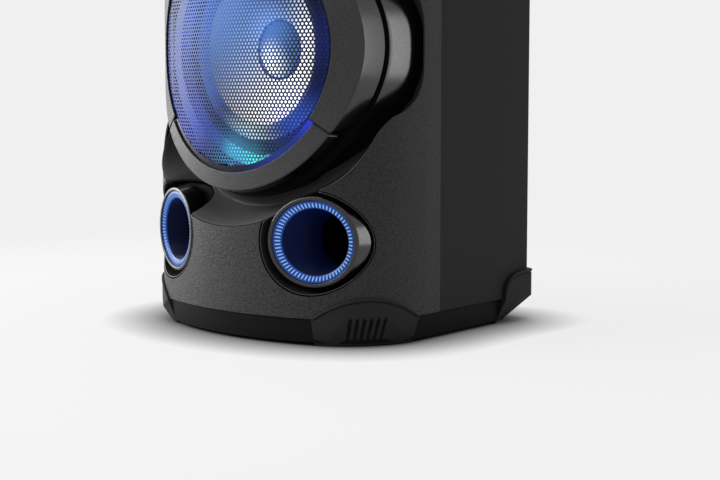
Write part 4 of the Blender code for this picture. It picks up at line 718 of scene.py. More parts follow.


# Painted light: the driver's materials below glow with these pools; only the light guide is a lamp.
lit_guide = lit(moulded("light_guide_lit", "#10122a", "#181a36", 0.25, 3.0 * MM, 0.02 * MM, 1.49, 0.2), 1.0)
pulp = lit(moulded("coated_paper_pulp_painted_light", "#0c0d12", "#14151c", 0.65, 1.8 * MM, 0.15 * MM, 1.47, 0.1),
           1.0, CONE_POOLS)
cap_pulp = lit(moulded("coated_paper_cap_painted_light", "#0c0d12", "#14151c", 0.65, 1.8 * MM, 0.10 * MM, 1.47, 0.1),
               1.0, CAP_POOLS)
butyl = lit(moulded("butyl_rubber_roll_painted_light", "#0a0a0e", "#101014", 0.42, 2.0 * MM, 0.03 * MM, 1.52, 0.2),
            0.8, ROLL_POOLS)
painted_steel = lit(
    moulded("painted_pressed_steel_and_painted_light", "#0c0c10", "#121216", 0.45, 1.5 * MM, 0.03 * MM, 1.50, 0.2), 0.3)
drum_abs = lit(moulded("moulded_abs_drum_painted_light", "#0e0e0e", "#141414", 0.55, 0.8 * MM, 0.06 * MM), 1.0, DRUM_POOLS)
glue = lit(moulded("rubber_glue_bead_painted_light", "#08080a", "#0e0e12", 0.35, 2.0 * MM, 0.03 * MM, 1.52, 0.2),
           1.0, BEAD_POOLS)
# Painted light on the grille's turned-back steel border.
grille_border_painted_light = lit(moulded("grille_border_steel_painted_light", "#08091a", "#0c0e22", 0.30, 3.0 * MM, 0.02 * MM, 1.49, 0.2),
               1.0, BORDER_POOLS)
# Painted light on the grille's bars; the tweeters' cans share this material.
lit(steel_coat_painted_light, 1.0, BAR_POOLS)
print("woofer's light:", len(DRIVER_POOLS), "pools on the driver,", len(BAR_POOLS), "on the grille")

# %% [markdown]
# The grille is punched sheet steel: round holes on a hexagonal pitch. A bump or a see-through pattern would
# look painted on, so each cell of the hexagonal net is real mesh: twelve quads run from the edge of the
# cell to the rim of its hole, and twelve more line the hole. All cells are worked out in one array.

# %% Grille
PITCH, HOLE, SHEET = 4.0 * MM, 1.36 * MM, 0.35 * MM
GRILLE_EDGE, GRILLE_BACK = RING_INNER - 0.8 * MM, 2.4 * MM
rows = int(GRILLE_EDGE / (PITCH * np.sqrt(3) / 2)) + 1
column, row = np.meshgrid(np.arange(-40, 41), np.arange(-rows, rows + 1))
centre = np.stack([(column + 0.5 * (row % 2)) * PITCH, row * PITCH * np.sqrt(3) / 2], -1).reshape(-1, 2)
centre = centre[np.hypot(*centre.T) < FLANGE_INNER - 0.3 * PITCH]
twelfth = np.arange(13) * np.pi / 6
cell = np.where(np.arange(13) % 2 == 0, PITCH / 2, PITCH / np.sqrt(3))
around = np.stack([np.cos(twelfth), np.sin(twelfth)], -1)
outer_spots = centre[:, None] + cell[:, None] * around
hole_spots = centre[:, None] + HOLE * around


def on_grille(spots, back):
    """Put points (x, z from the axis) on the domed face of the grille."""
    y = ring_y(spots[..., 0], spots[..., 1]) + GRILLE_BACK + back
    return np.stack([spots[..., 0], y, WOOFER_Z + spots[..., 1]], -1)


loops = np.stack([on_grille(outer_spots, 0.0), on_grille(hole_spots, 0.0), on_grille(hole_spots, SHEET)], 1)
grid = np.arange(loops[..., 0].size).reshape(loops.shape[:3])
quads = np.stack([grid[:, :-1, :-1], grid[:, 1:, :-1], grid[:, 1:, 1:], grid[:, :-1, 1:]], -1).reshape(-1, 4)
turn = round_turn(180)[None, :]
border = np.array([FLANGE_INNER - 0.8 * MM, GRILLE_EDGE, GRILLE_EDGE])[:, None]
rim = on_grille(np.stack([border * np.cos(turn), border * np.sin(turn)], -1),
                np.array([-0.1, -0.1, 2.5])[:, None] * MM)
mesh = bpy.data.meshes.new("woofer_grille")
spots = np.concatenate([loops.reshape(-1, 3), rim.reshape(-1, 3)])
band = grid_quads(*rim.shape[:2]) + grid.size
mesh.from_pydata(spots.tolist(), [], np.concatenate([quads, band]).tolist())
mesh.polygons.foreach_set("material_index", np.repeat([0, 1], [len(quads), len(band)]))
shape = bmesh.new()
shape.from_mesh(mesh)
bmesh.ops.remove_doubles(shape, verts=shape.verts[:], dist=2e-5)
shape.to_mesh(mesh)
shape.free()
# The bars carry painted light in their powder coat, and the border band a painted light of its own.
mesh.materials.append(steel_coat_painted_light)
mesh.materials.append(grille_border_painted_light)
grille = bpy.data.objects.new("woofer_grille_punched", mesh)
scene.collection.objects.link(grille)
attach(grille, "cabinet")
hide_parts("woofer_grille")
print("grille:", len(centre), "holes,", len(mesh.polygons), "faces")

# %% [markdown]
# The driver itself: a paper cone with faint ribs and a domed dust cap on a bead of glue. Both are sections
# turned about the woofer's axis, and both move with the cone.

# %% Cone and dust cap
SEAT_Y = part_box("woofer_frame")[0].y
CONE_FRONT, CONE_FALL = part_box("cone")[0].y, 33 * MM
CONE_RADIUS, NECK = 75 * MM, 19.4 * MM
CAP_RADIUS, CAP_HEIGHT, ROLL = 28.6 * MM, 8.5 * MM, 6.3 * MM
DRUM_RADIUS, FRAME_RADIUS, FRAME_MOUTH, COIL_HOLE = 118 * MM, 104 * MM, 87.6 * MM, 21.2 * MM
turn = round_turn(160)[None, :]


def turned(name, section, material, nodes, slot, body="cabinet", x=0.0, z=WOOFER_Z, steps=160, **options):
    """A closed section (r, y) turned once about an axis along Y."""
    section = closed(np.asarray(section))
    grid = hoop(section[:, :1], section[:, 1:], round_turn(steps)[None, :], x, z)
    return finish_piece(name, [grid], material, nodes, slot, body, **options)


fall = np.linspace(0, 1, 60)
cone_r = CONE_RADIUS + (NECK - CONE_RADIUS) * fall
cone_y = CONE_FRONT + CONE_FALL * fall ** 1.15 + 0.25 * MM * np.sin(fall * 9 * 2 * np.pi)
face = np.stack([cone_r, cone_y], -1)
turned("woofer_cone", np.concatenate([face, face[::-1] + (0.0, 1.2 * MM)]), pulp, ["cone"], "pulp_paper",
       "cone_assembly")
rim_y_of_cap = np.interp(-CAP_RADIUS, -cone_r, cone_y) - 0.3 * MM
dome = np.linspace(0, 1, 24)
cap = np.stack([CAP_RADIUS * dome, rim_y_of_cap - CAP_HEIGHT * (1 - dome ** 2)], -1)
cap = closed(np.concatenate([cap, cap[::-1] + (0.0, 1.0 * MM)]))
bead_turn = round_turn(12)
bead = np.stack([CAP_RADIUS + 0.8 * MM + 1.7 * MM * np.cos(bead_turn),
                 rim_y_of_cap + 1.1 * MM * np.sin(bead_turn)], -1)
finish_piece("woofer_dust_cap", [hoop(cap[:, :1], cap[:, 1:], turn, z=WOOFER_Z)], [cap_pulp, glue],
             ["dust_cap"], "pulp_paper", "cone_assembly",
             second=[hoop(bead[:, :1], bead[:, 1:], turn, z=WOOFER_Z)])

# %% [markdown]
# The half-round rubber surround spans the gap between the still frame and the cone. It is made in sixteen
# sectors, each the same closed section turned through its own sixteenth of the circle.

# %% Rubber surround
SECTORS = 16
roll_at = CONE_RADIUS + 0.4 * MM + ROLL
LAND = roll_at + ROLL + 3 * MM
arch = np.linspace(np.pi, 0, 25)
roll = np.stack([roll_at + ROLL * np.cos(arch), SEAT_Y - 1.0 * MM - ROLL * np.sin(arch)], -1)
land = np.array([(LAND, SEAT_Y - 1.0 * MM), (LAND, SEAT_Y)])
section = np.concatenate([roll, land, roll[::-1] + (0.0, 1.0 * MM)])
for k in range(SECTORS):
    first, last = 2 * np.pi * k / SECTORS, 2 * np.pi * (k + 1) / SECTORS
    grid = hoop(section[:, :1], section[:, 1:], np.linspace(first, last, 11)[None, :], z=WOOFER_Z)
    sector = finish_piece("woofer_surround_%02d" % (k + 1), [closed(grid)], butyl, ["surround"], "rubber_roll",
                          body=None, faces=(0, -1, 0))
    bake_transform(sector)

# %% [markdown]
# Round the cone stand a pressed steel frame, the light guide of the lamps and the drum, which carries the
# driver forward of the board. Each is a section turned about the same axis. The drum has a pan that reaches
# out to the trim ring and follows its dome, so there the depth changes with the angle.

# %% Frame, light ring and drum
hole = FRAME_RADIUS - 8 * MM
BASKET_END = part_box("woofer_frame")[1].y
turned("woofer_frame_pressed", rounded(np.array([
    (FRAME_MOUTH, SEAT_Y), (FRAME_RADIUS, SEAT_Y), (FRAME_RADIUS, SEAT_Y + 3 * MM), (hole, SEAT_Y + 3 * MM),
    (53 * MM, BASKET_END), (COIL_HOLE, BASKET_END), (COIL_HOLE, BASKET_END - 3 * MM),
    (50 * MM, BASKET_END - 3 * MM), (FRAME_MOUTH, SEAT_Y + 11 * MM)]), 1.0 * MM),
    painted_steel, ["woofer_frame"], "pressed_steel")
turned("woofer_light_ring_lit", rounded(np.array([
    (FRAME_RADIUS + GAP, SEAT_Y), (DRUM_RADIUS - 0.4 * MM, SEAT_Y - 2 * MM),
    (DRUM_RADIUS - 0.4 * MM, SEAT_Y + 3 * MM), (FRAME_RADIUS + GAP, SEAT_Y + 3 * MM)]), 0.8 * MM),
    lit_guide, ["woofer_light_ring"], "light_guide")
DRUM_FACE, DRUM_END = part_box("woofer_drum")[0].y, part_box("woofer_drum")[1].y
drum = np.array([(hole, DRUM_FACE), (DRUM_RADIUS, DRUM_FACE), (DRUM_RADIUS, DRUM_END - 3 * MM),
                 (DRUM_RADIUS + 12 * MM, DRUM_END - 3 * MM), (DRUM_RADIUS + 12 * MM, DRUM_END),
                 (DRUM_RADIUS - 6 * MM, DRUM_END), (DRUM_RADIUS - 6 * MM, DRUM_FACE + 3 * MM),
                 (hole, DRUM_FACE + 3 * MM)])
drum = closed(rounded(drum, 0.6 * MM))
PAN = COLLAR - 0.6 * MM
pan_y = ring_y(PAN * np.cos(turn), PAN * np.sin(turn)) + LIP + 1 * MM
pan_r = np.array([PAN, PAN, DRUM_RADIUS, DRUM_RADIUS, PAN + 0.5 * MM, PAN + 0.5 * MM, PAN])[:, None] + 0 * turn
pan_back = np.array([0, 1, 1, 1, 1, 0, 0])[:, None]
pan_deep = DRUM_FACE + np.array([0, 0, 0, 1, 1, 0, 0])[:, None] * MM
pan = hoop(pan_r, pan_y * (1 - pan_back) + pan_deep * pan_back, turn, z=WOOFER_Z)
finish_piece("woofer_drum_moulded", [hoop(drum[:, :1], drum[:, 1:], turn, z=WOOFER_Z), pan], drum_abs,
             ["woofer_drum"], "matt_abs")

# %% [markdown]
# Each bass port is a satin rim on its own slanted plane, standing in a dark well; a light guide inside the
# rim with a crown of small glowing bars; and a flared, finely ribbed tube. The other half of the front
# holds two horns with the same rims. One section function serves all four wells.

# %% Ports and horns
RIM_RADIUS, RIM_FACE, RIM_WALL, RIM_SETBACK = 44 * MM, 43.2 * MM, 4.6 * MM, 6.4 * MM
BELLY, BELLY_BACK = 47.7 * MM, 20 * MM
WELL_FLOOR_Y, WELL_WALL = -60 * MM, 1.0 * MM
LIGHT_OUTER, MOUTH, THROAT, THROAT_Y, TUBE_END = 38.8 * MM, 31.8 * MM, 25 * MM, -82 * MM, 70 * MM
TILT = np.tan(np.arcsin(PORT_X / FRONT_RADIUS))


def rim_y(x):
    """The slanted plane of a rim, x measured from the port's axis outwards."""
    return front_y(np.array(PORT_X)) + RIM_SETBACK + x * TILT


def well_skin(x, z):
    """Just behind the front, or behind the moat's surface inside the moat."""
    radius, turn = np.hypot(x, z - WOOFER_Z), np.arctan2(z - WOOFER_Z, x)
    moat = moat_y(turn, np.maximum(radius, BOWL_INNER))
    return np.where(radius < MOAT_RADIUS, np.maximum(front_y(x), moat), front_y(x)) + 0.6 * MM


def well_grid(side, centre_z, inside):
    """Rim face, polished flank, well floor, wall and lip, carried round the port's axis; inside is the bore.

    Returns the satin grids and the polished ones.
    """
    turn = round_turn(144)
    across, up = np.cos(turn) * side, np.sin(turn)
    well = WELL_RADIUS - 1.2 * MM
    lip = well_skin(PORT_X + well * across, centre_z + well * up)
    zero = 0 * turn
    corners = [(inside + zero, rim_y(inside * across)), (RIM_FACE + zero, rim_y(RIM_FACE * across)),
               (BELLY + zero, rim_y(RIM_FACE * across) + BELLY_BACK),
               (BELLY + zero, WELL_FLOOR_Y + zero), (well - WELL_WALL + zero, WELL_FLOOR_Y + zero),
               (well - WELL_WALL + zero, lip), (well + zero, lip),
               (well + zero, WELL_FLOOR_Y + WELL_WALL + zero), (inside + zero, WELL_FLOOR_Y + WELL_WALL + zero)]
    section = np.stack([np.stack(corner, -1) for corner in corners])
    edges = np.array([1.2, 1.8, 6.0, 0.6, 0.6, 0.5, 0.5, 0.3, 0.3]) * MM
    section = closed(rounded(section, edges, 6))
    grid = hoop(section[..., 0], section[..., 1], turn[None, :], side * PORT_X, centre_z)
    return [grid[:10], grid[18:]], [grid[9:19]]


for side, side_name in SIDES:
    satin, polished = well_grid(side, PORT_Z, RIM_RADIUS - RIM_WALL)
    finish_piece("port_rim_satin_" + side_name, satin, [satin_abs, gloss_abs], ["port_rim_" + side_name],
                 "satin_abs", second=polished)

# %% [markdown]
# The light guide is a shallow funnel with sixty-five raised bars, each a short half-round rib. The funnel
# glows deep blue and the bars a paler blue. The tube's ribs are a ripple on its radius, and the guide's blue
# light on its plastic is painted on as a glow near the mouth that falls off to black in the throat.

# %% Port lights and tubes
BARS, GLOW_FROM, GLOW_MOUTH, GLOW_THROAT = 65, -122 * MM, 0.13, 0.03


def port_lamp(name, stops):
    """A clear light guide that glows in the hues of the stops."""
    material, tree, shader = surface(name, Roughness=0.3, IOR=1.49, Specular_IOR_Level=0.2,
                                     Base_Color=linear("#0a1024"), Emission_Strength=1.0)
    tree.links.new(lamp_hues(tree, stops, PORT_Z), shader.inputs["Emission Color"])
    return material


port_glow = port_lamp("light_guide_port", [
    (0.0, "#123c86"), (0.25, "#184a98"), (0.5, "#0f3278"), (0.75, "#1e52a4"), (1.0, "#123c86")])
port_bars = port_lamp("light_guide_bars", [(0.0, "#6c9ce0"), (0.5, "#84b0ea"), (1.0, "#6c9ce0")])
# Painted light: the tube's plastic glows navy near the mouth in place of the guide's light on it.
tube_abs, tree, shader = surface("moulded_abs_painted_blue_glow", Roughness=0.35, IOR=1.53, Specular_IOR_Level=0.08,
                                 Base_Color=linear("#040408"), Emission_Color=linear("#0c2a78"))
at = add(tree, "TexCoord", {}).outputs["Object"]
deep = add(tree, "SeparateXYZ", {"Vector": at}).outputs["Y"]
fall = add(tree, "MapRange", {"Value": deep, "From Min": GLOW_FROM, "From Max": THROAT_Y,
                              "To Min": GLOW_MOUTH, "To Max": GLOW_THROAT})
mouth = add(tree, "Math", {0: deep, 1: THROAT_Y - 0.2 * MM}, operation="LESS_THAN")
glow = add(tree, "Math", {0: fall.outputs["Result"], 1: mouth.outputs[0]}, operation="MULTIPLY")
tree.links.new(glow.outputs[0], shader.inputs["Emission Strength"])


def funnel_y(radius, across):
    """The light guide's face: just behind the rim's plane at its edge, and 4 mm behind it at the mouth."""
    share = (LIGHT_OUTER - radius) / (LIGHT_OUTER - MOUTH)
    return rim_y(radius * across) + (1.2 + 2.8 * share) * MM


for side, side_name in SIDES:
    turn = round_turn(144)[None, :]
    across = np.cos(turn) * side
    inner = MOUTH + 0.4 * MM
    radius = np.array([LIGHT_OUTER, LIGHT_OUTER, inner, inner, LIGHT_OUTER])[:, None] + 0 * turn
    back = np.array([4.0, 0.0, 0.0, 1.6, 4.0])[:, None] * MM
    funnel = hoop(radius, funnel_y(radius, across) + back, turn, side * PORT_X, PORT_Z)
    bar_turn = (np.arange(BARS) + 0.5) * 2 * np.pi / BARS
    arch = np.linspace(0, np.pi, 5)
    bar_r = np.linspace(MOUTH + 1.1 * MM, LIGHT_OUTER - 1.5 * MM, 4)
    bars = []
    for at_turn in bar_turn:
        spread = at_turn + 0.68 * MM / bar_r[:, None] * np.cos(arch)[None, :]
        lift = 0.55 * MM * np.sin(arch)[None, :] * np.array([0, 1, 1, 0])[:, None]
        bars.append(hoop(bar_r[:, None], funnel_y(bar_r[:, None], np.cos(spread) * side) - lift, spread,
                         side * PORT_X, PORT_Z))
    finish_piece("port_light_" + side_name + "_lit", [funnel], [port_glow, port_bars],
                 ["port_light_" + side_name], "light_guide", second=bars)
    flare = np.linspace(0, 1, 150)[:, None]
    mouth_y = rim_y(MOUTH * across) + 6.2 * MM
    tube_y = mouth_y + (THROAT_Y - mouth_y) * flare
    tube_r = MOUTH + (THROAT - MOUTH) * np.sin(flare * np.pi / 2) + 0.25 * MM * np.cos(flare * 18 * 2 * np.pi)
    wall = np.array([0.0, 0.0, 2.0, 2.0])[:, None] * MM
    tail_r = THROAT + wall + 0 * turn
    tail_y = np.array([THROAT_Y, TUBE_END, TUBE_END, THROAT_Y])[:, None] + 0 * turn
    out_r = np.concatenate([tube_r + 0 * turn, tail_r, MOUTH + 2 * MM + 0 * turn, tube_r[:1] + 0 * turn])
    out_y = np.concatenate([tube_y, tail_y, mouth_y + 1.0 * MM, mouth_y])
    finish_piece("port_tube_ribbed_" + side_name, [hoop(out_r, out_y, turn, side * PORT_X, PORT_Z)], tube_abs,
                 ["port_tube_" + side_name], "matt_abs")

# %% [markdown]
# The tweeters have the same rim and well, with an exponential horn inside and the driver, a plain steel
# can, behind its throat.

# %% Tweeter horns
HORN_THROAT, HORN_THROAT_Y = 12 * MM, -78 * MM
for side, side_name in SIDES:
    bore = RIM_RADIUS - RIM_WALL
    turn = round_turn(144)[None, :]
    across = np.cos(turn) * side
    share = np.linspace(0, 1, 40)[:, None]
    horn_r = bore * (HORN_THROAT / bore) ** share + 0 * turn
    start_y = rim_y(bore * across) + 1.2 * MM
    horn_y = start_y + (HORN_THROAT_Y - start_y) * share ** 0.9
    horn = hoop(horn_r, horn_y, turn, side * PORT_X, TWEETER_Z)
    satin, polished = well_grid(side, TWEETER_Z, bore)
    finish_piece("tweeter_horn_satin_" + side_name, satin + [horn], [satin_abs, gloss_abs],
                 ["tweeter_horn_" + side_name], "satin_abs", second=polished)
    low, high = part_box("tweeter_driver_" + side_name)
    can = rounded(np.array([(30 * MM, low.y + 2 * MM), (30 * MM, high.y - 2 * MM), (20 * MM, high.y),
                            (0.01 * MM, high.y), (0.01 * MM, low.y), (14 * MM, low.y)]), 1.0 * MM)
    # The can shares the grille's powder-coated steel, and so its painted light.
    turned("tweeter_driver_can_" + side_name, can, steel_coat_painted_light, ["tweeter_driver_" + side_name], "zinc_steel",
           x=side * PORT_X, z=TWEETER_Z, steps=64)

# %% [markdown]
# The whole plan, all the way round, is needed for the plinth, the top cap and the control panel. It is arcs
# that run one into the next. Drawing it in takes the inset off each arc's radius, and the two rear corners,
# whose radius is small, keep a little radius of their own.

# %% Whole plan
def whole_plan(inset, cut=None, front_steps=40, corner_steps=36, rear_steps=8):
    """The closed outline (x, y) of the box drawn in by inset, counter-clockwise from the middle of the front.

    Cut is the length and depth of a notch that takes the place of each rear corner.
    """
    wide = np.linspace(0, TANGENT, front_steps)
    corner = np.linspace(TANGENT, np.pi / 2, corner_steps)[1:]
    rear = np.linspace(np.pi / 2, np.pi, rear_steps)
    small = np.maximum(REAR_RADIUS - inset, 2 * MM)
    rear_x, rear_y = HALF - inset - small + small * np.sin(rear), BACK_Y - inset - small - small * np.cos(rear)
    if cut:
        length, depth = cut
        rear_x = HALF - np.array([inset, depth, depth, length, length])
        rear_y = BACK_Y - np.array([length, length, depth, depth, inset])
    x = np.concatenate([(FRONT_RADIUS - inset) * np.sin(wide),
                        CORNER_X + (CORNER_RADIUS - inset) * np.sin(corner), rear_x])
    y = np.concatenate([FRONT_CENTRE_Y - (FRONT_RADIUS - inset) * np.cos(wide),
                        CORNER_Y - (CORNER_RADIUS - inset) * np.cos(corner), rear_y])
    right = np.stack([x, y], -1)
    return np.concatenate([right, right[::-1] * (-1, 1)])


def stacked(levels, cut=None):
    """The plan drawn in by each inset at each height, one loop above the other."""
    loops = [np.insert(whole_plan(inset, cut), 2, z, axis=1) for inset, z in levels]
    return np.stack([closed(loop) for loop in loops])


print("whole plan:", len(whole_plan(0.0)), "points")

# %% [markdown]
# The box behind the front has two fibreboard sides wrapped in smooth vinyl film, with a small round at the
# rear edge. Each is a plan outline carried straight up.

# %% Side panels
BOARD = 12 * MM
rear = np.linspace(np.pi / 2, np.pi, 10)
outline = np.concatenate([[(HALF - BOARD, SEAM_Y), (HALF, SEAM_Y)],
                          np.stack([HALF - REAR_RADIUS + REAR_RADIUS * np.sin(rear),
                                    BACK_Y - REAR_RADIUS - REAR_RADIUS * np.cos(rear)], -1),
                          [(HALF - BOARD, BACK_Y)]])
heights = np.linspace(BOX_FLOOR, SHELL_TOP, 12)
for side, side_name in SIDES:
    wall = np.stack([np.insert(closed(outline) * (side, 1), 2, z, axis=1) for z in heights])
    finish_piece("side_panel_wrapped_" + side_name, [wall], vinyl_wrap, ["side_panel_" + side_name],
                 "vinyl_wrap")

# %% [markdown]
# The plinth is a dark tray whose sides slope in a little under the box, so that the speaker seems to float
# on its feet.

# %% Plinth
PLINTH_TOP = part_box("plinth")[1].z
PLINTH_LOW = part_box("plinth")[0].z
FOOT_DEPTH, REAR_REACH = 30 * MM, 52 * MM
slope = [(11 * MM, PLINTH_LOW), (6.6 * MM, PLINTH_LOW), (6.0 * MM, PLINTH_LOW + 0.6 * MM),
         (1.5 * MM, PLINTH_TOP - 1.0 * MM), (1.9 * MM, PLINTH_TOP)]
finish_piece("plinth_tray", [stacked(slope, (REAR_REACH, FOOT_DEPTH))], plinth_abs, ["plinth"], "matt_abs")

# %% [markdown]
# The feet are moulded rubber. A front foot wraps the corner: an arched lip lies on the front, and below it
# the face turns in to the floor. The line where it turns is a ridge in the middle with a dip on each side,
# and six leaning slots cross that ridge. A bead with a groove under it runs along the lip. Front and rear
# feet share one section, with the slots as a dip in its depth.

# %% Section of a foot
FOOT_FIRST, FOOT_LAST = TANGENT + np.radians(1.0), np.radians(82.5)
FOOT_TOE, REAR_TOE = 8 * MM, 19 * MM
FOOT_TOP, REAR_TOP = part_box("front_foot_right")[1].z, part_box("rear_foot_right")[1].z
SLOTS, SLOT_PITCH, SLOT_WIDTH, SLOT_DEPTH, SLOT_LEAN = 6, 6.7 * MM, 3.0 * MM, 4.0 * MM, 0.14
SLOT_LOW, SLOT_HIGH, SLOT_MIDDLE = 3.0 * MM, 28.5 * MM, np.radians(51.2)


def foot_grid(point, out, way, toe, knee, top, proud, slots):
    """Block, toe, face, groove and bead: offsets from the box's outline by height, one row for each point."""
    under, count = PLINTH_TOP, len(point)
    rows = []

    def row(inward, outward, z):
        inward, outward, z = (np.broadcast_to(value, count)[:, None] for value in (inward, outward, z))
        rows.append(np.concatenate([point + way * inward + out * outward, z], 1))
    row(FOOT_DEPTH, 0.0, under)
    row(FOOT_DEPTH, 0.0, 0.0)
    row(toe + 0.8 * MM, 0.0, 0.0)
    for share in np.concatenate([np.linspace(0.03, 0.9, 22), [0.95, 0.985, 1.0]]):
        z = knee * share
        row(toe * (1 - share) + slots(z), proud * share, z)
    room = np.clip((top - knee) / (5 * MM), 0.05, 1)
    for share in np.linspace(0, 1, 12)[1:]:
        z = knee + (top - 3.9 * MM * room - knee) * share
        row(slots(z), proud, z)
    for outward, below in ((-1.1, 3.6), (-1.1, 2.7), (0.2, 2.4), (0.7, 1.9), (0.7, 0.9), (0.4, 0.3),
                           (-0.8, 0.0)):
        row(0.0, proud + outward * MM * room, top - below * MM * room)
    row(0.0, 0.1 * MM, top)
    row(0.0, 0.1 * MM, under)
    return np.stack(rows + rows[:1])


def slot_dip(length):
    """A dip in the face's depth at evenly spaced leaning slots, as a function of the height."""
    def dip(z):
        lean = length - SLOT_LEAN * (z - 14 * MM)
        near = np.abs(lean / SLOT_PITCH - np.round(lean / SLOT_PITCH - 0.5) - 0.5) * SLOT_PITCH
        inside = np.clip((SLOT_WIDTH / 2 - near) / (0.5 * MM) + 0.5, 0, 1)
        inside = inside * (np.abs(lean) < SLOTS / 2 * SLOT_PITCH)
        ends = np.clip((z - SLOT_LOW) / (1.5 * MM), 0, 1) * np.clip((SLOT_HIGH - z) / (1.5 * MM), 0, 1)
        return SLOT_DEPTH * inside * ends
    return dip


print("a front foot has", SLOTS, "slots")

# %% [markdown]
# The section is carried along the outline of the box: round the corner's arc in front, and behind along
# both sides of a nearly square corner, with a longer slope and no slots. The left feet are mirror images.

# %% Feet
turn = np.linspace(FOOT_FIRST + 0.004, FOOT_LAST - 0.004, 420)
out = np.stack([np.sin(turn), -np.cos(turn)], -1)
point = np.array([CORNER_X, CORNER_Y]) + CORNER_RADIUS * out
across = np.linspace(-1, 1, len(turn))
LIP_Z = PLINTH_TOP + 1.0 * MM
front_top = LIP_Z + (FOOT_TOP - LIP_Z) * (1 - across ** 2)
knee = PLINTH_TOP * np.interp(np.abs(across), [0, 0.36, 0.40, 0.61, 0.64, 1], [1, 1, 0.97, 0.575, 0.575, 0.98])
length = CORNER_RADIUS * (turn - SLOT_MIDDLE)
front_foot = foot_grid(point, out, -out, FOOT_TOE, knee, front_top, 2.0 * MM, slot_dip(length))
hub = np.array([HALF - REAR_REACH, BACK_Y - REAR_REACH])
straight = np.linspace(0.4 * MM, REAR_REACH - REAR_RADIUS, 60)[:-1]
side_run = np.stack([np.full_like(straight, HALF), hub[1] + straight], -1)
corner_turn = np.linspace(np.pi / 2, np.pi, 20)
corner_out = np.stack([np.sin(corner_turn), -np.cos(corner_turn)], -1)
corner_run = np.array([HALF - REAR_RADIUS, BACK_Y - REAR_RADIUS]) + REAR_RADIUS * corner_out
back_run = np.stack([hub[0] + straight[::-1], np.full_like(straight, BACK_Y)], -1)
point = np.concatenate([side_run, corner_run, back_run])
out = np.concatenate([np.tile((1.0, 0.0), (len(straight), 1)), corner_out,
                      np.tile((0.0, 1.0), (len(straight), 1))])
across = np.linspace(-1, 1, len(point))
rear_top = LIP_Z + (REAR_TOP - LIP_Z) * np.sqrt(np.maximum(1 - across ** 4, 0))
toe = REAR_TOE + (FOOT_TOE - REAR_TOE) * across ** 2
rear_foot = foot_grid(point, out, (hub - point) / REAR_REACH, toe, 0.98 * PLINTH_TOP + 0 * across, rear_top,
                      5.0 * MM, lambda z: 0.0)
for side, side_name in SIDES:
    for corner, grid in (("front", front_foot), ("rear", rear_foot)):
        finish_piece("%s_foot_moulded_%s" % (corner, side_name), [grid * (side, 1, 1)], rubber,
                     ["%s_foot_%s" % (corner, side_name)], "rubber")

# %% [markdown]
# The top is a satin cap that rounds over from the sides into a raised rim. It is the whole plan, drawn in
# by a list of insets at rising heights.

# %% Top cap
CAP_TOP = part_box("top_cap")[1].z
DECK_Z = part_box("control_panel")[0].z
PANEL_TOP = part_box("control_panel")[1].z
bend = np.linspace(0, np.pi / 2, 10)
over = list(zip(9 * MM * (1 - np.cos(bend)), CAP_TOP - 12 * MM + 12 * MM * np.sin(bend)))
levels = [(4 * MM, SHELL_TOP + 6 * MM), (4 * MM, SHELL_TOP + 0.4 * MM), (0.6 * MM, SHELL_TOP + 0.4 * MM),
          (0.0, SHELL_TOP + 1 * MM)] + over
levels += [(18.8 * MM, CAP_TOP), (19.6 * MM, CAP_TOP - 0.3 * MM), (20 * MM, CAP_TOP - 1.0 * MM),
           (21 * MM, DECK_Z - 0.4 * MM)]
finish_piece("top_cap_satin", [stacked(levels)], satin_abs, ["top_cap"], "satin_abs")

# %% [markdown]
# A glossy control panel is let into the cap, and the buttons and jacks stand in holes in it. These go
# straight through a flat plate, where a Boolean cut is clean, so each hole is cut by a drill that is
# removed afterwards.

# %% Control panel
def bored(piece, holes):
    """Cut round holes (x, y, radius) straight down through a flat piece, and keep the result as its mesh."""
    cutters = []
    for x, y, radius in holes:
        section = np.array([(0.0, 0.5), (radius, 0.5), (radius, 0.7), (0.0, 0.7)])
        drill = upright(section[:, :1], section[:, 1:], round_turn(48)[None, :], x, y)
        mesh = bpy.data.meshes.new("drill")
        mesh.from_pydata(drill.reshape(-1, 3).tolist(), [], grid_quads(*drill.shape[:2]).tolist())
        shape = bmesh.new()
        shape.from_mesh(mesh)
        bmesh.ops.remove_doubles(shape, verts=shape.verts[:], dist=1e-6)
        bmesh.ops.recalc_face_normals(shape, faces=shape.faces[:])
        shape.to_mesh(mesh)
        shape.free()
        cutters.append(bpy.data.objects.new("drill", mesh))
        scene.collection.objects.link(cutters[-1])
        cut = piece.modifiers.new("hole", "BOOLEAN")
        cut.operation, cut.solver, cut.object = "DIFFERENCE", "EXACT", cutters[-1]
        piece.modifiers.move(len(piece.modifiers) - 1, 0)
    names = [m.name for m in piece.modifiers if m.type != "BOOLEAN"]
    for name in names:
        piece.modifiers[name].show_viewport = False
    bpy.context.view_layer.update()
    cut_mesh = bpy.data.meshes.new_from_object(piece.evaluated_get(bpy.context.evaluated_depsgraph_get()))
    for modifier in [m for m in piece.modifiers if m.type == "BOOLEAN"]:
        piece.modifiers.remove(modifier)
    for name in names:
        piece.modifiers[name].show_viewport = True
    piece.data = cut_mesh
    for cutter in cutters:
        bpy.data.objects.remove(cutter)


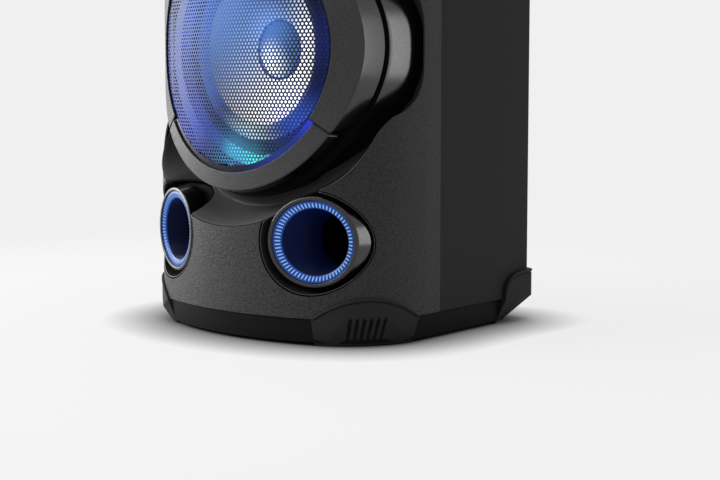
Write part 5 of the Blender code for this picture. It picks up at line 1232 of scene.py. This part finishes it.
BUTTONS = ("power", "source", "play", "bass", "light", "echo")
spots = {name: middle(name + "_button") for name in BUTTONS}
knob_at, mic_at = middle("volume_knob"), middle("mic_knob")
jack_at = {name: middle(name + "_jack") for name in ("mic", "guitar")}
PANEL_INSET, BUTTON_HOLE, JACK_HOLE = 21.8 * MM, 9.6 * MM, 8.3 * MM
panel = finish_piece("control_panel_gloss", [stacked([
    (PANEL_INSET, DECK_Z), (PANEL_INSET, PANEL_TOP - 0.5 * MM),
    (PANEL_INSET + 0.15 * MM, PANEL_TOP - 0.15 * MM), (PANEL_INSET + 0.5 * MM, PANEL_TOP)])],
    gloss_abs, ["control_panel"], "gloss_abs", bevel=0.25 * MM)
bored(panel, [(spot.x, spot.y, BUTTON_HOLE) for spot in spots.values()]
      + [(spot.x, spot.y, JACK_HOLE) for spot in jack_at.values()])
print("control panel bored for", len(spots), "buttons and", len(jack_at), "jacks")

# %% [markdown]
# The knobs are sections turned about an upright axis. The big knob has a band of fine flutes, a ripple on
# its radius, and a raised dot on top; the small one has a raised pointer line, so that its turn shows.

# %% Knobs
def turned_up(name, section, material, nodes, slot, body, at, steps=96, ripple=None, extra=()):
    """A closed section (r, z) turned about an upright axis; ripple changes the radius by angle and by row."""
    section = closed(np.asarray(section))
    turn = round_turn(steps)
    radius = section[:, :1] + 0 * turn
    if ripple is not None:
        radius = radius + ripple(section, turn)
    grid = upright(radius, section[:, 1:], turn[None, :], at.x, at.y)
    return finish_piece(name, [grid] + list(extra), material, nodes, slot, body)


KNOB_LOW, KNOB_TOP, KNOB_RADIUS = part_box("volume_knob")[0].z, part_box("volume_knob")[1].z, 34 * MM
TINY = 0.05 * MM
knob = rounded(np.array([(TINY, KNOB_LOW), (KNOB_RADIUS - 1.2 * MM, KNOB_LOW),
                         (KNOB_RADIUS - 1.2 * MM, KNOB_LOW + 2 * MM),
                         (KNOB_RADIUS - 0.3 * MM, KNOB_LOW + 2.6 * MM),
                         (KNOB_RADIUS - 0.3 * MM, KNOB_TOP - 3.5 * MM), (KNOB_RADIUS - 3 * MM, KNOB_TOP),
                         (24 * MM, KNOB_TOP), (22 * MM, KNOB_TOP - 2 * MM), (TINY, KNOB_TOP - 2 * MM)]),
               np.array([0, 0.3, 0.3, 0.3, 1.5, 1.5, 0.6, 1.2, 0]) * MM, 5)


def flutes(section, turn):
    """Seventy-two shallow flutes on the knob's flank only."""
    band = ((section[:, :1] > KNOB_RADIUS - 1 * MM) & (section[:, 1:] < KNOB_TOP - 2.5 * MM)).astype(float)
    return 0.3 * MM * band * np.cos(72 * turn)


dot = upright(np.array([[3.0], [2.4], [1.2], [TINY / MM]]) * MM,
              KNOB_TOP - 2 * MM + np.array([[0.02], [0.35], [0.5], [0.5]]) * MM, round_turn(24)[None, :],
              knob_at.x, knob_at.y - 17 * MM)
turned_up("volume_knob_fluted", knob, satin_abs, ["volume_knob"], "satin_abs", "volume_knob", knob_at, 576,
          flutes, [dot])
MIC_LOW, MIC_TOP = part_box("mic_knob")[0].z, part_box("mic_knob")[1].z
mic = rounded(np.array([(TINY, MIC_LOW), (10 * MM, MIC_LOW), (9 * MM, MIC_TOP), (TINY, MIC_TOP)]),
              np.array([0, 0.4, 1.2, 0]) * MM, 5)
pointer = np.array([(-0.6, 1.5), (0.6, 1.5), (0.6, 8.2), (-0.6, 8.2)]) * MM
lines = np.stack([np.insert(closed(pointer * scale) + (mic_at.x, mic_at.y), 2, z, axis=1) for scale, z in (
    (1.0, MIC_TOP - 0.5 * MM), (1.0, MIC_TOP), (0.97, MIC_TOP + 0.05 * MM))])
turned_up("mic_knob_turned", mic, satin_abs, ["mic_knob"], "satin_abs", "mic_knob", mic_at, 240,
          lambda section, turn: 0.2 * MM * (section[:, :1] > 8.8 * MM) * np.cos(30 * turn), [lines])

# %% [markdown]
# Each button is a turned cap with a small chamfer and a shallow dish for the fingertip, and rides on a body
# of its own, so that it can be pressed.

# %% Buttons
for name, spot in spots.items():
    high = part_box(name + "_button")[1]
    dish = np.linspace(1, 0, 8)
    foot = PANEL_TOP - 2.6 * MM
    hollow = np.stack([np.maximum(7.6 * MM * dish, TINY), high.z - 0.4 * MM * (1 - dish ** 2)], -1)
    cap = np.concatenate([[(TINY, foot), (9 * MM, foot), (9 * MM, high.z - 0.7 * MM),
                           (8.7 * MM, high.z - 0.2 * MM), (8.1 * MM, high.z)], hollow])
    turned_up(name + "_button_cap", cap, matt_abs, [name + "_button"], "matt_abs", name + "_button", spot, 64)

# %% [markdown]
# The line sockets in the control panel are turned and plated: a thin nut with a chamfer round a plug hole.

# %% Jacks
for name, spot in jack_at.items():
    low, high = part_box(name + "_jack")
    section = rounded(np.array([(3.4 * MM, low.z), (8 * MM, low.z), (8 * MM, high.z - 0.3 * MM),
                                (6.8 * MM, high.z), (4.6 * MM, high.z), (3.4 * MM, high.z - 0.9 * MM)]),
                      0.25 * MM, 4)
    turned_up(name + "_jack_turned", section, zinc_steel, [name + "_jack"], "zinc_steel", "cabinet", spot, 96)

# %% [markdown]
# The display window is a dark polished plate that follows the front's wide arc: points on that arc, moved
# in to two depths and set at two heights.

# %% Display window
window_s = along(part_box("display_window")[1].x)
stations = np.linspace(-window_s, window_s, 41)
edge_x, edge_y = plan(np.abs(stations))
centre = np.array([0.0, FRONT_CENTRE_Y])
face = np.stack([np.sign(stations) * edge_x, edge_y], -1)
inward = (centre - face) / FRONT_RADIUS
bottom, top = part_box("display_window")[0].z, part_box("display_window")[1].z
loops = [np.insert(face + inward * inset, 2, z, axis=1) for inset, z in (
    (0.4 * MM, bottom), (0.4 * MM, top), (3.9 * MM, top), (3.9 * MM, bottom), (0.4 * MM, bottom))]
finish_piece("display_window_gloss", [np.stack(loops)], gloss_abs, ["display_window"], "gloss_abs",
             bevel=0.4 * MM)

# %% [markdown]
# The back is a board in the same vinyl film, held by ten pan-head screws, with a moulded grab handle, the
# line sockets, a row of vents and the mains inlet. These are plain flat shapes, so each keeps its solid,
# with its flat faces joined and its edges rounded by a small bevel. The screws are added as turned heads,
# with a hollow in place of the cross slot.

# %% Back
panel_low, panel_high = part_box("back_panel")
head = np.array([(0.05, 1.0), (0.9, 1.1), (1.3, 1.9), (2.6, 1.7), (3.6, 1.0), (3.9, 0.0)]) * MM
screws = []
for x in (panel_low.x + 12 * MM, panel_high.x - 12 * MM):
    for z in np.linspace(panel_low.z + 14 * MM, panel_high.z - 14 * MM, 5):
        screws.append(hoop(head[:, :1], panel_high.y + head[:, 1:], round_turn(24)[None, :], x, z))
finish_piece("back_panel_wrapped", [], [vinyl_wrap, zinc_steel], ["back_panel"], "vinyl_wrap",
             solid="back_panel", bevel=0.6 * MM, second=screws)
for node, edge in (("handle_cup", 1.2 * MM), ("mains_inlet", 0.4 * MM), ("terminal_plate", 0.3 * MM)):
    finish_piece(node + "_moulded", [], matt_abs, [node], "matt_abs", solid=node, bevel=edge)

# %% [markdown]
# What stays hidden inside keeps its solid and gets its own finish, so that an opened speaker looks right
# too: raw fibreboard, dull and mottled brown; boards under a smooth green mask; extruded aluminium,
# streaked along its fins; bright plated steel; dark, dull ferrite; brown resin-dipped cloth; and enamelled
# copper wire.

# %% Hidden parts
def dress(material, *names):
    """Give carried-over nodes a finish."""
    for name in names:
        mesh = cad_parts[name].data
        mesh.materials.clear()
        mesh.materials.append(material)


dress(moulded("raw_fibreboard", "#7a5a3c", "#92704c", 0.80, 1.2 * MM, 0.10 * MM, 1.47),
      "baffle_board", "bottom_board")
dress(zinc_steel, "power_supply", "top_plate", "pole_piece", *("woofer_screw_%d" % k for k in (1, 2, 3, 4)))
dress(metal("extruded_aluminium", "#a9abae", "#bcbec1", 0.38, 6.0 * MM, (8.0, 8.0, 1.0)), "heat_sink")
dress(metal("enamelled_copper_wire", "#a4562c", "#bb6c3c", 0.35, 0.8 * MM, (0.2, 4.0, 0.2)), "voice_coil")
dress(moulded("sintered_ferrite", "#2a2a2c", "#343437", 0.60, 1.6 * MM, 0.08 * MM, 1.60), "magnet")
dress(moulded("resin_dipped_cloth", "#3a2c1c", "#4a3a26", 0.75, 0.7 * MM, 0.20 * MM, 1.50), "spider")
dress(moulded("solder_mask_board", "#0c3a22", "#145034", 0.40, 2.5 * MM, 0.05 * MM, 1.52),
      "amp_board", "control_board")
print("hidden parts dressed:", sum(not node.hide_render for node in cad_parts.values()))
